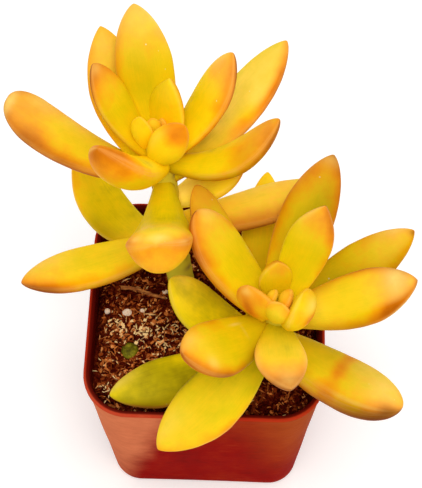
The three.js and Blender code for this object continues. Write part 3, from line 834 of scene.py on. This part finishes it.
leftLeaves = {
    "under_back": {
        "seat": 64, "tip": (-31, 32, 72), "width": 11.6, "thick": 6, "bow": -2, "sway": -3.7,
        "ripe": (0.4, 0.28, 0.42), "pale": (0.1, 0, 0.05), "shade": (1.2, 1.02, 1.22), "left": 0.15,
        "right": 0.02, "under": 0.15,
        "paleSpots": [(0.25, 0.1, 0.36, 0.1, 0.12)],
        "shadeSpots": [(-0.48, 0.42, 0.44, 0.2, 0.12), (0.3, 0.68, 0.14, 0.18, 0.1)],
    },
    "under_side": {
        "seat": 70, "tip": (-39.5, -5, 76), "width": 12.5, "thick": 6.5, "bow": -2, "sway": 1.2,
        "ripe": (0.45, 0.35, 0.55), "pale": (0.1, 0.05, 0.15), "shade": (0.95, 1.05, 1), "left": 0.22,
        "right": 0.06, "under": 0.2, "dim": 0.3,
        "ripeSpots": [(0.25, 0.92, 0.5, 0.14, 0.1)],
        "paleSpots": [(0.25, 0.82, 0.12, 0.15, 0.1), (-0.15, 0.8, 0.5, 0.2, 0.1)],
        "shadeSpots": [
            (-0.28, 0.88, 0.49, 0.16, 0.09), (0.15, 0.35, 0.12, 0.3, 0.08), (-0.12, 0.4, 0.5, 0.3, 0.07),
        ],
    },
    "reaching": {
        "seat": 74, "tip": (25.5, 20, 79.6), "width": 11.5, "thick": 6.5, "bow": -1, "sway": 0.5,
        "ripe": (0.42, 0.45, 0.5), "pale": (0.1, 0.2, 0.25), "shade": (1.15, 1.1, 1.05), "left": 0,
        "right": 0.2, "under": 0.25, "dim": 0.45,
        "ripeSpots": [(0.1, 0.5, 0.08, 0.3, 0.08)],
        "paleSpots": [(0.2, 0.5, 0.4, 0.3, 0.1)],
        "shadeSpots": [(-0.32, 0.5, 0.07, 0.3, 0.1)],
    },
    "under_right": {
        "seat": 80, "tip": (7.6, 22.6, 86), "width": 11, "thick": 5.5, "bow": -1,
        "ripe": (0.24, 0.26, 0.62), "pale": (0.6, 0.1, 0), "shade": (1.5, 1.5, 0.78), "left": 0,
        "right": 0.05, "dim": 0.1,
    },
    "hanging": {
        "seat": 85, "tip": (-9.5, -9, 102.8), "width": 13.4, "thick": 9.8, "bow": -4, "widest": 0.8,
        "neck": 0.36, "taper": 0.5, "thickTo": 0.8, "tipRound": 0.5, "keel": 1.6,
        "ripe": (0.36, 0.27, 0.54), "pale": (0, 0, 0.2), "shade": (0.88, 0.95, 1.05), "left": 0.08,
        "under": 0.06, "dim": 0,
        "ripeSpots": [
            (0.28, 0.88, 0.5, 0.1, 0.07), (0.22, 0.88, 0.03, 0.08, 0.07), (-0.16, 0.9, 0.27, 0.06, 0.12),
        ],
        "paleSpots": [
            (0.45, 0.985, 0.28, 0.022, 0.13), (0.35, 0.93, 0.1, 0.03, 0.04), (0.3, 0.92, 0.5, 0.03, 0.03),
            (0.35, 0.5, 0.08, 0.28, 0.012),
        ],
        "shadeSpots": [(-0.04, 0.84, 0.48, 0.1, 0.07), (-0.12, 0.45, 0.42, 0.3, 0.08)],
    },
    "right_long": {
        "seat": 86.5, "tip": (15.9, 44.5, 98), "width": 12.6, "thick": 5.5, "bow": -3, "sway": -0.6,
        "ripe": (0.35, 0.32, 0.42), "pale": (0, 0.3, 0.4), "shade": (0.98, 1.1, 1), "left": -0.05,
        "right": 0.36, "under": 0.2, "dim": 0.4,
        "ripeSpots": [
            (0.2, 0.72, 0.02, 0.15, 0.08), (-0.2, 0.34, 0.28, 0.15, 0.09), (0.1, 0.5, 0.12, 0.12, 0.06),
        ],
        "paleSpots": [
            (-0.3, 0.75, 0, 0.2, 0.09), (0.2, 0.68, 0.13, 0.1, 0.05), (0.2, 0.45, 0.3, 0.2, 0.1),
            (-0.2, 0.52, 0.12, 0.1, 0.07),
        ],
        "shadeSpots": [(-0.15, 0.32, 0.08, 0.2, 0.1), (0.2, 0.32, 0.3, 0.14, 0.09)],
    },
    "back_low": {
        "seat": 86, "tip": (-24, 42.5, 104), "width": 12.4, "thick": 5.2, "bow": -2, "sway": -1.4,
        "taper": 0.8,
        "ripe": (0.34, 0.48, 0.5), "pale": (0, 0, 0.35), "shade": (1.1, 1, 1), "left": 0.12, "right": 0.05,
        "under": 0.2, "dim": 0.35,
    },
    "side_long": {
        "seat": 87, "tip": (-43.2, 27.4, 98), "width": 13, "thick": 6.5, "bow": -3, "sway": -0.4,
        "widest": 0.78, "neck": 0.3, "taper": 0.42,
        "ripe": (0.42, 0.42, 0.66), "pale": (0, 0.05, 0.2), "left": 0.32, "right": 0.16, "under": 0.25,
        "ripeSpots": [
            (0.12, 0.75, 0.4, 0.14, 0.09), (0.1, 0.5, 0.5, 0.15, 0.07), (-0.15, 0.3, 0.12, 0.12, 0.08),
        ],
        "paleSpots": [
            (0.3, 0.56, 0.1, 0.12, 0.09), (0.35, 0.8, 0.1, 0.1, 0.1), (0.5, 0.98, 0.3, 0.03, 0.3),
            (0.3, 0.3, 0.24, 0.08, 0.06),
        ],
        "shadeSpots": [
            (-0.14, 0.68, 0.44, 0.2, 0.09), (-0.14, 0.5, 0.48, 0.15, 0.08), (0.1, 0.3, 0.12, 0.12, 0.08),
        ],
    },
    "right_low": {
        "seat": 90.5, "tip": (14.4, 20.6, 103.4), "width": 9.6, "thick": 5.8, "bow": -3, "sway": 2.7,
        "widest": 0.64,
        "ripe": (0.32, 0.4, 0.72), "pale": (0, 0, 0.15), "shade": (0.85, 1, 0.98), "left": 0, "right": 0.12,
        "dim": 0.3,
        "ripeSpots": [
            (-0.16, 0.42, 0.36, 0.16, 0.12), (0.16, 0.62, 0.22, 0.1, 0.1), (-0.1, 0.97, 0.25, 0.03, 0.3),
        ],
        "paleSpots": [(0.35, 0.76, 0.42, 0.18, 0.06)],
        "shadeSpots": [
            (-0.1, 0.7, 0.04, 0.2, 0.08), (0.22, 0.43, 0.4, 0.17, 0.08), (-0.12, 0.68, 0.13, 0.12, 0.08),
        ],
    },
    "back_tall": {
        "seat": 90, "tip": (-16.5, 42.5, 112), "width": 12.2, "thick": 5.6, "bow": -1.5,
        "ripe": (0.42, 0.39, 0.52), "pale": (0, 0, 0.2), "shade": (1, 0.9, 1), "left": 0.12, "right": 0.04,
        "under": 0.15,
        "ripeSpots": [(0.1, 0.7, 0.46, 0.2, 0.06)],
        "paleSpots": [(0.3, 0.85, 0.02, 0.15, 0.08), (0.3, 0.9, 0.5, 0.12, 0.07), (0.3, 1, 0.3, 0.16, 0.6)],
        "shadeSpots": [(-0.1, 0.55, 0.27, 0.2, 0.1)],
    },
    "front_steep": {
        "seat": 91, "tip": (-21.3, 7.1, 112), "width": 11.6, "thick": 7.4, "bow": -2, "neck": 0.6,
        "ripe": (0.38, 0.42, 0.8), "pale": (0, 0, 0.05), "shade": (1.15, 1.15, 1.12), "left": 0.06,
        "right": 0.05, "under": 0.02, "dim": 0.08,
        "ripeSpots": [
            (-0.18, 0.4, 0.38, 0.16, 0.07), (0.12, 0.86, 0.45, 0.12, 0.12), (0.12, 0.55, 0.5, 0.2, 0.08),
        ],
        "paleSpots": [(0.14, 0.42, 0.38, 0.15, 0.07), (0.4, 0.88, 0.98, 0.15, 0.05)],
        "shadeSpots": [(-0.08, 0.6, 0.75, 0.25, 0.1)],
    },
    "side_inner": {
        "seat": 92, "tip": (-24, 28.5, 110), "width": 9.6, "thick": 4.6, "bow": -1.5, "sway": 0.6,
        "ripe": (0.36, 0.38, 0.74), "pale": (0, 0, 0.12), "shade": (0.85, 0.93, 1), "right": 0.08,
        "under": 0.2,
        "paleSpots": [(0.25, 0.97, 0.3, 0.05, 0.2)],
        "shadeSpots": [(-0.1, 0.55, 0.42, 0.2, 0.05)],
    },
    "right_inner": {
        "seat": 92, "tip": (4.4, 32.2, 110), "width": 11.6, "thick": 5.2, "bow": -2, "sway": -0.5,
        "widest": 0.6, "taper": 0.75,
        "ripe": (0.38, 0.39, 0.68), "pale": (0, 0, 0.25), "shade": (1.08, 1.12, 1.12), "left": -0.08,
        "right": 0.16, "under": 0.2,
        "ripeSpots": [(0.1, 0.72, 0.05, 0.14, 0.08), (-0.1, 0.4, 0.4, 0.2, 0.1)],
        "paleSpots": [(0.3, 0.9, 0.38, 0.12, 0.1)],
        "shadeSpots": [(0.15, 0.45, 0.4, 0.25, 0.1)],
    },
    "heart_front": {
        "seat": 92, "root": (-11, 17, 93), "tip": (-4.8, 17.6, 104.6), "width": 7.8, "thick": 5,
        "bow": -1.2, "roll": -100, "widest": 0.5, "taper": 0.6,
        "ripe": (0.2, 0.38, 0.76), "pale": (0, 0.05, 0.05), "shade": (1.25, 1.15, 1.02), "left": 0,
        "right": 0, "under": 0, "dim": 0,
        "ripeSpots": [(0.1, 0.8, 0.75, 0.15, 0.08)],
        "paleSpots": [(0.15, 0.6, 0.88, 0.2, 0.06)],
        "shadeSpots": [(-0.2, 0.2, 0.62, 0.2, 0.08)],
    },
    "heart_back": {
        "seat": 94, "tip": (-8.5, 27.5, 107), "width": 10.4, "thick": 4, "bow": -1, "sway": -1,
        "widest": 0.38, "taper": 1,
        "ripe": (0.47, 0.42, 0.38), "pale": (0, 0, 0.08), "shade": (1.05, 1.08, 1.1), "left": -0.04,
        "right": 0.08, "dim": 0.2,
    },
    "heart_side": {
        "seat": 94.5, "root": (-13, 20, 93.5), "tip": (-14.3, 20.4, 103.2), "width": 5, "thick": 3,
        "bow": -0.6, "roll": -20, "taper": 0.8,
        "ripe": (0.3, 0.38, 0.5), "pale": (0, 0.05, 0.08), "shade": (1.3, 1.2, 1.1), "left": 0.04,
        "right": 0, "under": 0, "dim": 0,
    },
}
rightLeaves = {
    "on_soil": {
        "seat": 57, "tip": (-20.5, -23, 58), "width": 11.2, "thick": 6.5, "bow": 0, "sway": -0.8,
        "ripe": (0.32, 0.13, 0.22), "pale": (0, 0, 0.05), "shade": (0.9, 0.88, 0.95), "left": 0.05,
        "right": 0, "under": 0.2, "dim": 0.5,
        "ripeSpots": [
            (0.4, 0.8, 0.5, 0.35, 0.08), (0.15, 0.42, 0.12, 0.15, 0.08), (0.15, 0.6, 0.5, 0.3, 0.07),
        ],
        "paleSpots": [(0.35, 0.92, 0.1, 0.12, 0.08), (0.3, 0.85, 0.02, 0.15, 0.03)],
        "shadeSpots": [
            (-0.6, 0.78, 0.5, 0.35, 0.12), (0.15, 0.3, 0.4, 0.08, 0.08), (0.28, 0.42, 0.12, 0.2, 0.09),
            (-0.25, 0.78, 0.41, 0.22, 0.08),
        ],
    },
    "under_back": {
        "seat": 63, "tip": (12.9, 26.3, 73), "width": 10, "thick": 5, "bow": -1,
        "ripe": (0.45, 0.42, 0.42), "shade": (0.95, 0.9, 1.15), "left": 0.05, "right": 0.05, "dim": 0.3,
    },
    "under_left": {
        "seat": 66, "tip": (-7.5, -5, 80), "width": 10.8, "thick": 6, "bow": -2, "sway": -1,
        "ripe": (0.38, 0.2, 0.2), "pale": (0, 0, 0.08), "shade": (1.1, 1.12, 1.25), "left": 0.14,
        "right": 0,
        "paleSpots": [(0.15, 0.92, 0.12, 0.1, 0.1)],
        "shadeSpots": [
            (0.2, 0.85, 0.12, 0.2, 0.1), (0.14, 0.5, 0.25, 0.15, 0.1), (-0.28, 0.75, 0.5, 0.25, 0.08),
            (0.15, 0.8, 0.12, 0.2, 0.08),
        ],
    },
    "front_long": {
        "seat": 70, "tip": (-9, -36.5, 62), "width": 13.4, "thick": 6.5, "bow": 1, "sway": -1.6,
        "widest": 0.54, "neck": 0.62,
        "ripe": (0.24, 0.33, 0.46), "pale": (0, 0.03, 0.1), "shade": (0.72, 0.98, 1), "left": 0.17,
        "right": 0.04, "under": 0.15,
        "ripeSpots": [(-0.1, 0.5, 0, 0.18, 0.08), (0.12, 0.6, 0.47, 0.12, 0.06)],
        "paleSpots": [(0.15, 0.85, 0.14, 0.15, 0.08), (0.2, 0.7, 0.5, 0.15, 0.04)],
        "shadeSpots": [
            (-0.35, 0.5, 0, 0.18, 0.08), (-0.15, 0.2, 0.43, 0.12, 0.1), (-0.2, 0.55, 0, 0.15, 0.07),
        ],
    },
    "side_low": {
        "seat": 71, "tip": (42, -28.5, 70), "width": 13.6, "thick": 9, "bow": -2, "sway": -0.7, "roll": -22,
        "widest": 0.62, "taper": 0.52, "thickTo": 0.6, "keel": 1,
        "ripe": (0.4, 0.37, 0.5), "pale": (0, 0.03, 0.25), "shade": (0.86, 0.88, 1), "left": 0.05,
        "right": 0.22, "under": 0.26, "dim": 0.38,
        "ripeSpots": [
            (0.3, 0.52, 0.3, 0.06, 0.3), (0.22, 0.92, 0.1, 0.1, 0.09), (0.1, 0.8, 0.93, 0.3, 0.08),
        ],
        "paleSpots": [
            (0.25, 0.64, 0.36, 0.1, 0.1), (0.3, 0.84, 0.3, 0.12, 0.14), (0.35, 0.72, 0.06, 0.22, 0.014),
            (-0.3, 0.88, 0.97, 0.2, 0.07),
        ],
        "shadeSpots": [
            (-0.45, 0.82, 0.98, 0.3, 0.065), (-0.4, 0.95, 0.06, 0.06, 0.07), (-0.1, 0.35, 0.3, 0.2, 0.1),
            (-0.12, 0.85, 0, 0.2, 0.07),
        ],
    },
    "left_behind": {
        "seat": 74, "tip": (-2.7, 13.5, 88), "width": 9.4, "thick": 5, "bow": -1, "sway": -1, "taper": 0.6,
        "ripe": (0.45, 0.48, 0.56), "shade": (0.82, 0.85, 0.85), "left": 0.05, "right": 0.05, "under": 0.2,
        "dim": 0.35,
    },
    "side_back": {
        "seat": 76, "tip": (44.5, 8.5, 80), "width": 11, "thick": 5.5, "bow": -2,
        "ripe": (0.36, 0.45, 0.54), "pale": (0, 0, 0.15), "shade": (0.92, 0.72, 0.95), "left": 0.06,
        "right": 0.12, "under": 0.2, "dim": 0.4,
        "ripeSpots": [(-0.12, 0.35, 0.25, 0.15, 0.12)],
        "paleSpots": [(0.4, 0.9, 0.42, 0.1, 0.1), (-0.2, 0.85, 0.03, 0.2, 0.1)],
        "shadeSpots": [
            (-0.4, 0.985, 0.2, 0.02, 0.12), (-0.28, 0.78, 0.06, 0.2, 0.12), (-0.15, 0.42, 0.25, 0.15, 0.1),
            (0.15, 0.15, 0.38, 0.1, 0.1),
        ],
    },
    "back_tall": {
        "seat": 77, "tip": (26.4, 20, 91.4), "width": 11.8, "thick": 5.5, "bow": -2, "sway": -0.6,
        "neck": 0.6,
        "ripe": (0.46, 0.43, 0.6), "pale": (0, 0, 0.05), "shade": (0.98, 0.72, 0.8), "left": 0.2,
        "right": 0.28, "under": 0.2, "dim": 0.4,
        "ripeSpots": [(-0.06, 0.6, 0.26, 0.2, 0.08)],
        "paleSpots": [(0.35, 0.97, 0.3, 0.04, 0.3), (0.15, 0.85, 0.46, 0.12, 0.06)],
        "shadeSpots": [(-0.22, 0.7, 0.18, 0.16, 0.1)],
    },
    "front_left": {
        "seat": 78, "tip": (-3.6, -26.4, 90), "width": 12.5, "thick": 7, "bow": -2, "sway": -1,
        "ripe": (0.34, 0.36, 0.5), "shade": (0.78, 0.88, 1), "left": 0.32, "right": 0.12, "dim": 0.12,
        "ripeSpots": [
            (0.2, 0.68, 0.5, 0.13, 0.07), (-0.15, 0.3, 0.5, 0.12, 0.08), (0.1, 0.55, 0.1, 0.12, 0.08),
        ],
        "paleSpots": [
            (0.3, 0.9, 0.12, 0.1, 0.1), (0.3, 0.78, 0.36, 0.05, 0.05), (0.45, 0.34, 0.16, 0.05, 0.008),
            (0.35, 0.3, 0.22, 0.008, 0.05),
        ],
        "shadeSpots": [
            (-0.18, 0.68, 0.5, 0.12, 0.07), (-0.3, 0.38, 0.49, 0.25, 0.09), (-0.28, 0.27, 0.4, 0.17, 0.09),
        ],
    },
    "side_high": {
        "seat": 80, "tip": (43.3, -8.5, 90), "width": 12.2, "thick": 5.5, "bow": -2, "taper": 0.75,
        "ripe": (0.43, 0.41, 0.62), "pale": (0.1, 0.05, 0.32), "left": 0.24, "right": 0.26, "under": 0.3,
        "ripeSpots": [
            (0.16, 0.86, 0.32, 0.08, 0.14), (0.18, 0.74, 0.09, 0.14, 0.07), (0.2, 0.66, 0.5, 0.12, 0.07),
            (-0.2, 0.97, 0.3, 0.03, 0.2),
        ],
        "paleSpots": [
            (0.55, 0.86, 0.32, 0.08, 0.14), (0.2, 0.15, 0.25, 0.1, 0.08), (-0.3, 0.74, 0.07, 0.2, 0.07),
            (0.5, 0.8, 0.985, 0.14, 0.03),
        ],
        "shadeSpots": [
            (-0.34, 0.32, 0.03, 0.35, 0.1), (-0.12, 0.72, 0.08, 0.2, 0.09), (-0.36, 0.6, 0.5, 0.2, 0.07),
            (-0.2, 0.12, 0.05, 0.2, 0.12), (-0.22, 0.25, 0.4, 0.2, 0.08), (-0.14, 0.52, 0, 0.12, 0.08),
        ],
    },
    "left_high": {
        "seat": 80, "tip": (-2.1, 2, 97), "width": 13.2, "thick": 8, "bow": -2, "sway": 1.3, "roll": 22,
        "widest": 0.6, "neck": 0.5, "taper": 0.6,
        "ripe": (0.33, 0.37, 0.55), "pale": (0, 0, 0.12), "shade": (1, 0.95, 0.97), "left": 0.25,
        "under": 0.25,
        "ripeSpots": [
            (0.12, 0.74, 0.1, 0.1, 0.07), (0.1, 0.72, 0.5, 0.12, 0.08), (-0.2, 0.88, 0.63, 0.1, 0.07),
        ],
        "paleSpots": [(0.3, 0.94, 0.12, 0.07, 0.14)],
        "shadeSpots": [(-0.08, 0.68, 0.4, 0.15, 0.08), (0.25, 0.88, 0.63, 0.1, 0.07)],
    },
    "front": {
        "seat": 80, "tip": (18, -31.5, 86), "width": 10.8, "thick": 5, "bow": -1.5, "sway": 0.4,
        "widest": 0.46, "taper": 1,
        "ripe": (0.22, 0.42, 0.9), "pale": (0, 0.12, 0.45), "shade": (0.78, 1, 1.08), "left": 0.2,
        "right": 0.2, "dim": 0.3,
        "ripeSpots": [(-0.15, 0.42, 0.25, 0.12, 0.12), (0.12, 0.92, 0.25, 0.08, 0.25)],
        "paleSpots": [(0.35, 0.5, 0.02, 0.2, 0.08), (0.35, 0.5, 0.48, 0.2, 0.08)],
    },
    "back_inner": {
        "seat": 82, "tip": (24, 2.5, 100), "width": 9.8, "thick": 5, "bow": -2, "taper": 0.9,
        "ripe": (0.42, 0.36, 0.66), "pale": (0, 0, 0.12), "shade": (0.92, 0.92, 0.98), "left": -0.06,
        "right": 0.2, "under": 0.25,
        "ripeSpots": [
            (0.1, 0.85, 0.08, 0.14, 0.1), (0.08, 0.52, 0.12, 0.12, 0.08), (-0.1, 0.02, 0.25, 0.1, 0.4),
        ],
        "paleSpots": [(0.35, 0.9, 0.46, 0.12, 0.09)],
        "shadeSpots": [(-0.08, 0.55, 0.12, 0.15, 0.08), (0.2, 0.42, 0.48, 0.2, 0.1)],
    },
    "heart_left": {
        "seat": 82, "tip": (8.9, -12.8, 93.8), "width": 8.4, "thick": 4, "bow": -1, "roll": 75,
        "ripe": (0.48, 0.52, 0.66), "pale": (0, 0.04, 0.15), "shade": (0.92, 0.94, 0.97), "left": 0,
        "right": 0.05, "under": 0, "dim": 0,
        "ripeSpots": [(0.36, 0.6, 0.77, 0.24, 0.06), (-0.14, 0.55, 0.5, 0.15, 0.08)],
        "paleSpots": [(0.35, 0.95, 0.78, 0.06, 0.12), (0.25, 0.6, 0.52, 0.1, 0.06)],
    },
    "heart_right": {
        "seat": 83, "root": (17, -16, 84.5), "tip": (20, -13.4, 92.9), "width": 9.8, "thick": 5, "bow": -1,
        "roll": -90, "widest": 0.5, "taper": 0.55,
        "ripe": (0.4, 0.42, 0.42), "pale": (0, 0.03, 0.1), "shade": (0.95, 1, 1), "left": 0.05, "right": 0,
        "under": 0.05, "dim": 0,
        "ripeSpots": [(0.32, 0.5, 0.77, 0.14, 0.08)],
        "paleSpots": [(0.4, 0.78, 0.76, 0.12, 0.09)],
        "shadeSpots": [(-0.12, 0.7, 0.12, 0.2, 0.06)],
    },
    "heart_back": {
        "seat": 83.5, "tip": (14.7, -7.4, 93.8), "width": 7.2, "thick": 3.8, "bow": -1, "widest": 0.5,
        "taper": 0.95,
        "ripe": (0.47, 0.43, 0.54), "shade": (0.8, 0.94, 0.96), "left": -0.05, "right": 0.04, "dim": 0.15,
        "ripeSpots": [(-0.15, 0.42, 0.43, 0.2, 0.12)],
        "shadeSpots": [(0.15, 0.42, 0.43, 0.2, 0.12)],
    },
}
leaves = {"left": leftLeaves, "right": rightLeaves}

# The heart of each rosette: a growing tip with its youngest leaves
hearts = {
    "left": {
        "rise": 1.5, "radius": 2.2,
        "young": [
            {"seat": 96, "tip": (-12, 21.4, 101.2), "width": 3.4, "thick": 1.8, "bow": -0.3},
            {"seat": 96, "tip": (-10, 22.5, 99.6), "width": 2.4, "thick": 1.5, "bow": -0.3},
            {"seat": 96, "tip": (-13, 20.5, 99.6), "width": 2.2, "thick": 1.5, "bow": -0.3},
        ],
    },
    "right": {
        "rise": 1.2, "radius": 2,
        "young": [
            {"seat": 84.5, "tip": (15.6, -16.4, 93.4), "width": 6, "thick": 3.4, "bow": -0.6},
            {"seat": 85, "tip": (17.5, -13.8, 92), "width": 4.8, "thick": 3.2, "bow": -0.4},
            {"seat": 86, "tip": (14.5, -13, 91), "width": 3.2, "thick": 2.4, "bow": -0.2},
        ],
    },
}
youngLook = {
    "ripe": (0.4, 0.42, 0.5), "pale": (0, 0.1, 0.3), "shade": (0.85, 0.98, 1.05), "under": 0, "dim": 0,
}
youngMesh, tipMesh = (36, 32), (16, 24)
growingTip = {"ripe": 0.45, "pale": 0, "shade": 0.9, "rim": 0}  # its colours, the same all over

skinTones = {
    # place on the scale of ripeness and colour
    "ripeness": [
        (0.0, (0.30, 0.24, 0.003)), (0.15, (0.52, 0.43, 0.003)), (0.30, (0.76, 0.59, 0.003)),
        (0.45, (0.88, 0.60, 0.004)), (0.58, (0.90, 0.44, 0.003)), (0.72, (0.84, 0.285, 0.003)),
        (0.86, (0.66, 0.18, 0.002)), (1.0, (0.48, 0.11, 0.001)),
    ],
    # the pale tone is partly a paler tint and partly painted highlight
    "cream": (1.0, 0.74, 0.19), "rim": (0.98, 0.54, 0.15), "speck": (0.95, 0.85, 0.45),
}


def leafShares(leaf, along):
    # outline = (neck + (1 - neck) * sin^1.1 of a quarter turn up to widest) * (1 - past^2)^taper
    # thickness = (seat + (1 - seat) * sine up to where it is full) * (1 - past^2.3)^tipRound
    opening = np.minimum(along / leaf["widest"], 1)
    closing = np.maximum((along - leaf["widest"]) / (1 - leaf["widest"]), 0)
    outline = leaf["neck"] + (1 - leaf["neck"]) * np.sin(np.pi / 2 * opening) ** 1.1
    thin = np.maximum((along - leaf["thickTo"]) / (1 - leaf["thickTo"]), 0)
    plump = seatThickness + (1 - seatThickness) * np.sin(np.pi / 2 * np.minimum(along / fullFrom, 1))
    outline = outline * np.maximum(1 - closing ** 2, 0) ** leaf["taper"]
    return outline, plump * np.maximum(1 - thin ** 2.3, 0) ** leaf["tipRound"]


def leafGrid(side, leaf, rows, sides):
    # Rings along a bowed line from the seat to the tip: flat channelled upper face, rounded keel below
    leaf = {**plainLeaf, **leaf}
    centre, climb = stemPlace(side, leaf["seat"])
    tip = np.array(leaf["tip"], float)
    outward = unit(squareTo(tip - centre, climb))
    root = np.array(leaf["root"], float) if "root" in leaf else centre + outward * seatDepth
    run = unit(tip - root)
    up = unit(squareTo(climb, run))
    roll = np.radians(leaf["roll"])
    up = up * np.cos(roll) + np.cross(run, up) * np.sin(roll)
    aside = np.cross(run, up)
    along = 1 - (1 - np.linspace(0, 1, rows)) ** 1.5
    along[-1] = lastRing

    def middleLine(share):
        share = share[:, None]
        lift = up * leaf["bow"] * np.sin(np.pi * share ** 0.9)
        drift = aside * leaf["sway"] * np.sin(np.pi * share)
        return root + run * np.linalg.norm(tip - root) * share + lift + drift

    ahead = middleLine(np.minimum(along + 0.01, 1)) - middleLine(np.maximum(along - 0.01, 0))
    normal = unit(np.cross(aside, unit(ahead)))
    outline, thickness = leafShares(leaf, along)
    angle = -roundTurn(sides)
    rise = np.abs(np.sin(angle)) ** (leaf["keel"] * sectionRound)
    upper = upperShare * rise * (1 - channel * rise ** 2)
    height = np.where(np.sin(angle) > 0, upper, -(1 - upperShare) * rise)
    reach = leaf["width"] / 2 * outline[:, None] * np.cos(angle)[None]
    lift = leaf["thick"] * thickness[:, None] * height[None]
    middle = middleLine(along)[:, None]
    offset = aside * reach[..., None] + normal[:, None] * lift[..., None]
    x, y, z = leaf["tip"]
    seed = int(abs(x * 31 + y * 17 + z * 7))
    plump = 1 + 0.022 * swell(middle + offset, seed, 9) + 0.008 * swell(middle + offset, seed + 1, 3.5)
    return middle + offset * plump[..., None], paintShares(leaf, along, angle, outline, seed)


def between(stops, along):  # the seat's, middle's and tip's value, blended smoothly along the leaf
    seat, middle, tip = stops
    return seat + (middle - seat) * smooth(along, 0, 0.5) + (tip - middle) * smooth(along, 0.5, 1)


def paintShares(leaf, along, angle, outline, seed):
    # What the skin's colours follow, for each point of the grid. A spot = amount * e^(-distance^2)
    along = along[:, None]
    across = np.cos(angle)[None]  # 1 at the right-hand margin
    face = np.sin(angle)[None]  # 1 on the upper face
    reach = outline[:, None] * marginReach  # half-width of the leaf there, in widths of the margin's band
    right = np.exp(-np.abs((1 - across) * reach) ** 1.4)
    left = np.exp(-np.abs((1 + across) * reach) ** 1.4)
    outer = 0.3 + 0.7 * smooth(along, 0.1, 0.5)
    below = smooth(-face, 0.0, 0.6)
    ripe = between(leaf["ripe"], along) + (leaf["left"] * left + leaf["right"] * right) * outer
    # Painted shade: dim darkens the underside. Painted light: shade is a little brighter towards the seat
    shade = between(leaf["shade"], along) * (1 - leaf["dim"] * below)
    shares = {
        "ripe": ripe + leaf["under"] * below,
        # pale is partly a paler tint and partly painted highlight, weaker below and at the margins
        "pale": between(leaf["pale"], along) * (1 - 0.6 * below) * (1 - 0.5 * np.maximum(left, right)),
        "shade": shade * (1.1 - 0.1 * smooth(along, 0, 0.5)),
    }
    for kind in shares:
        for amount, place, turn, length, width in leaf[kind + "Spots"]:
            apart = (angle[None] / (2 * np.pi) - turn + 0.5) % 1 - 0.5
            spot = np.exp(-((along - place) / length) ** 2 - (apart / width) ** 2)
            shares[kind] = shares[kind] + amount * spot
    shares["rim"] = np.exp(-((1 - np.abs(across)) * reach / rimWidth) ** 2) * smooth(along, 0.1, 0.4)
    shares["grain"] = np.stack(np.broadcast_arrays(along * 5 + seed % 97, across * 3.0, face * 2.0), axis=-1)
    return {key: gridValues(value) for key, value in shares.items()}


def leafSkin():
    skin = Finish("leafSkin", IOR=1.14, Specular_IOR_Level=0.12)
    place = skin.place()
    cloud = skin.noise(place, 5 * mm, 3, 0.5)
    patch = skin.noise(skin.stretched(place, (1.0, 1.0, 0.8)), 2.6 * mm, 3, 0.55)
    mottle = skin.noise(place, 1.1 * mm, 3, 0.55)
    streak = skin.noise(skin.stretched(skin.vector("grain"), (0.25, 1.6, 1.6)), 0.22, 3, 0.6)
    stray = (cloud - 0.5) * 0.34 + (patch - 0.5) * 0.16 + (streak - 0.5) * 0.12 + (mottle - 0.5) * 0.06
    tone = skin.ramp((skin.value("ripe") + stray).clipped(), skinTones["ripeness"])
    # pale: partly a paler tint and partly painted highlight
    tone = skin.blend(tone, skinTones["cream"], (skin.value("pale") * (0.65 + patch * 0.7)).clipped())
    tone = skin.blend(tone, skinTones["rim"], skin.value("rim") * streak.step(0.3, 0.6) * 0.25)
    specks = 1 - skin.cells(place, 3.2 * mm).step(0.03, 0.07)
    tone = skin.blend(tone, skinTones["speck"], specks * cloud.step(0.52, 0.6) * 0.8)
    # Painted light and shade: the shade share brightens or dims the tone
    dim = skin.value("shade") * (0.9 + patch * 0.12 + streak * 0.08)
    tone = skin.stretched(tone, skin.node("CombineXYZ", values={index: dim for index in range(3)}))
    skin.feed("Roughness", (0.34 + mottle * 0.12).clipped())
    pores = skin.noise(place, 0.35 * mm, 2, 0.5)
    return skin.finished(tone, mottle * 0.5 + streak * 0.3 + pores * 0.2, 0.07)


def makeLeaves():
    for side, row in leaves.items():
        for name, leaf in row.items():
            grid, shares = leafGrid(side, leaf, *leafMesh)
            standFor(f"{side}_leaf_{name}", closedGrid(grid), waxySkin, shares)


def makeHearts():
    for side, heart in hearts.items():
        end = np.array(stems[side]["points"][-1], float) + [0, 0, heart["rise"]]
        ball = ballGrid(*tipMesh)
        parts = [closedGrid(ball * heart["radius"] + end)]
        shares = [{key: gridValues(ball[..., 0] * 0 + value) for key, value in growingTip.items()}]
        shares[0]["grain"] = gridValues(ball)
        for leaf in heart["young"]:
            grid, painted = leafGrid(side, {**youngLook, **leaf}, *youngMesh)
            parts.append(closedGrid(grid))
            shares.append(painted)
        values = {key: np.concatenate([share[key] for share in shares]) for key in shares[0]}
        standFor(f"{side}_heart", joined(parts), waxySkin, values)


makeCamera()
makeSky()
makeLamps()
makeFloor()
print("camera, floor and light are set")

makePot()
print("pot is made")
bitsFinish = soilBits()
makeSoil()
makeCrumbs()
makeStrands()
makeChips()
print("soil is made")
waxySkin = leafSkin()
makeGrains()
makeTwig()
makeFallenLeaf()
print("loose things are made")
makeStems()
makeLeaves()
makeHearts()
print("stems and leaves are made")
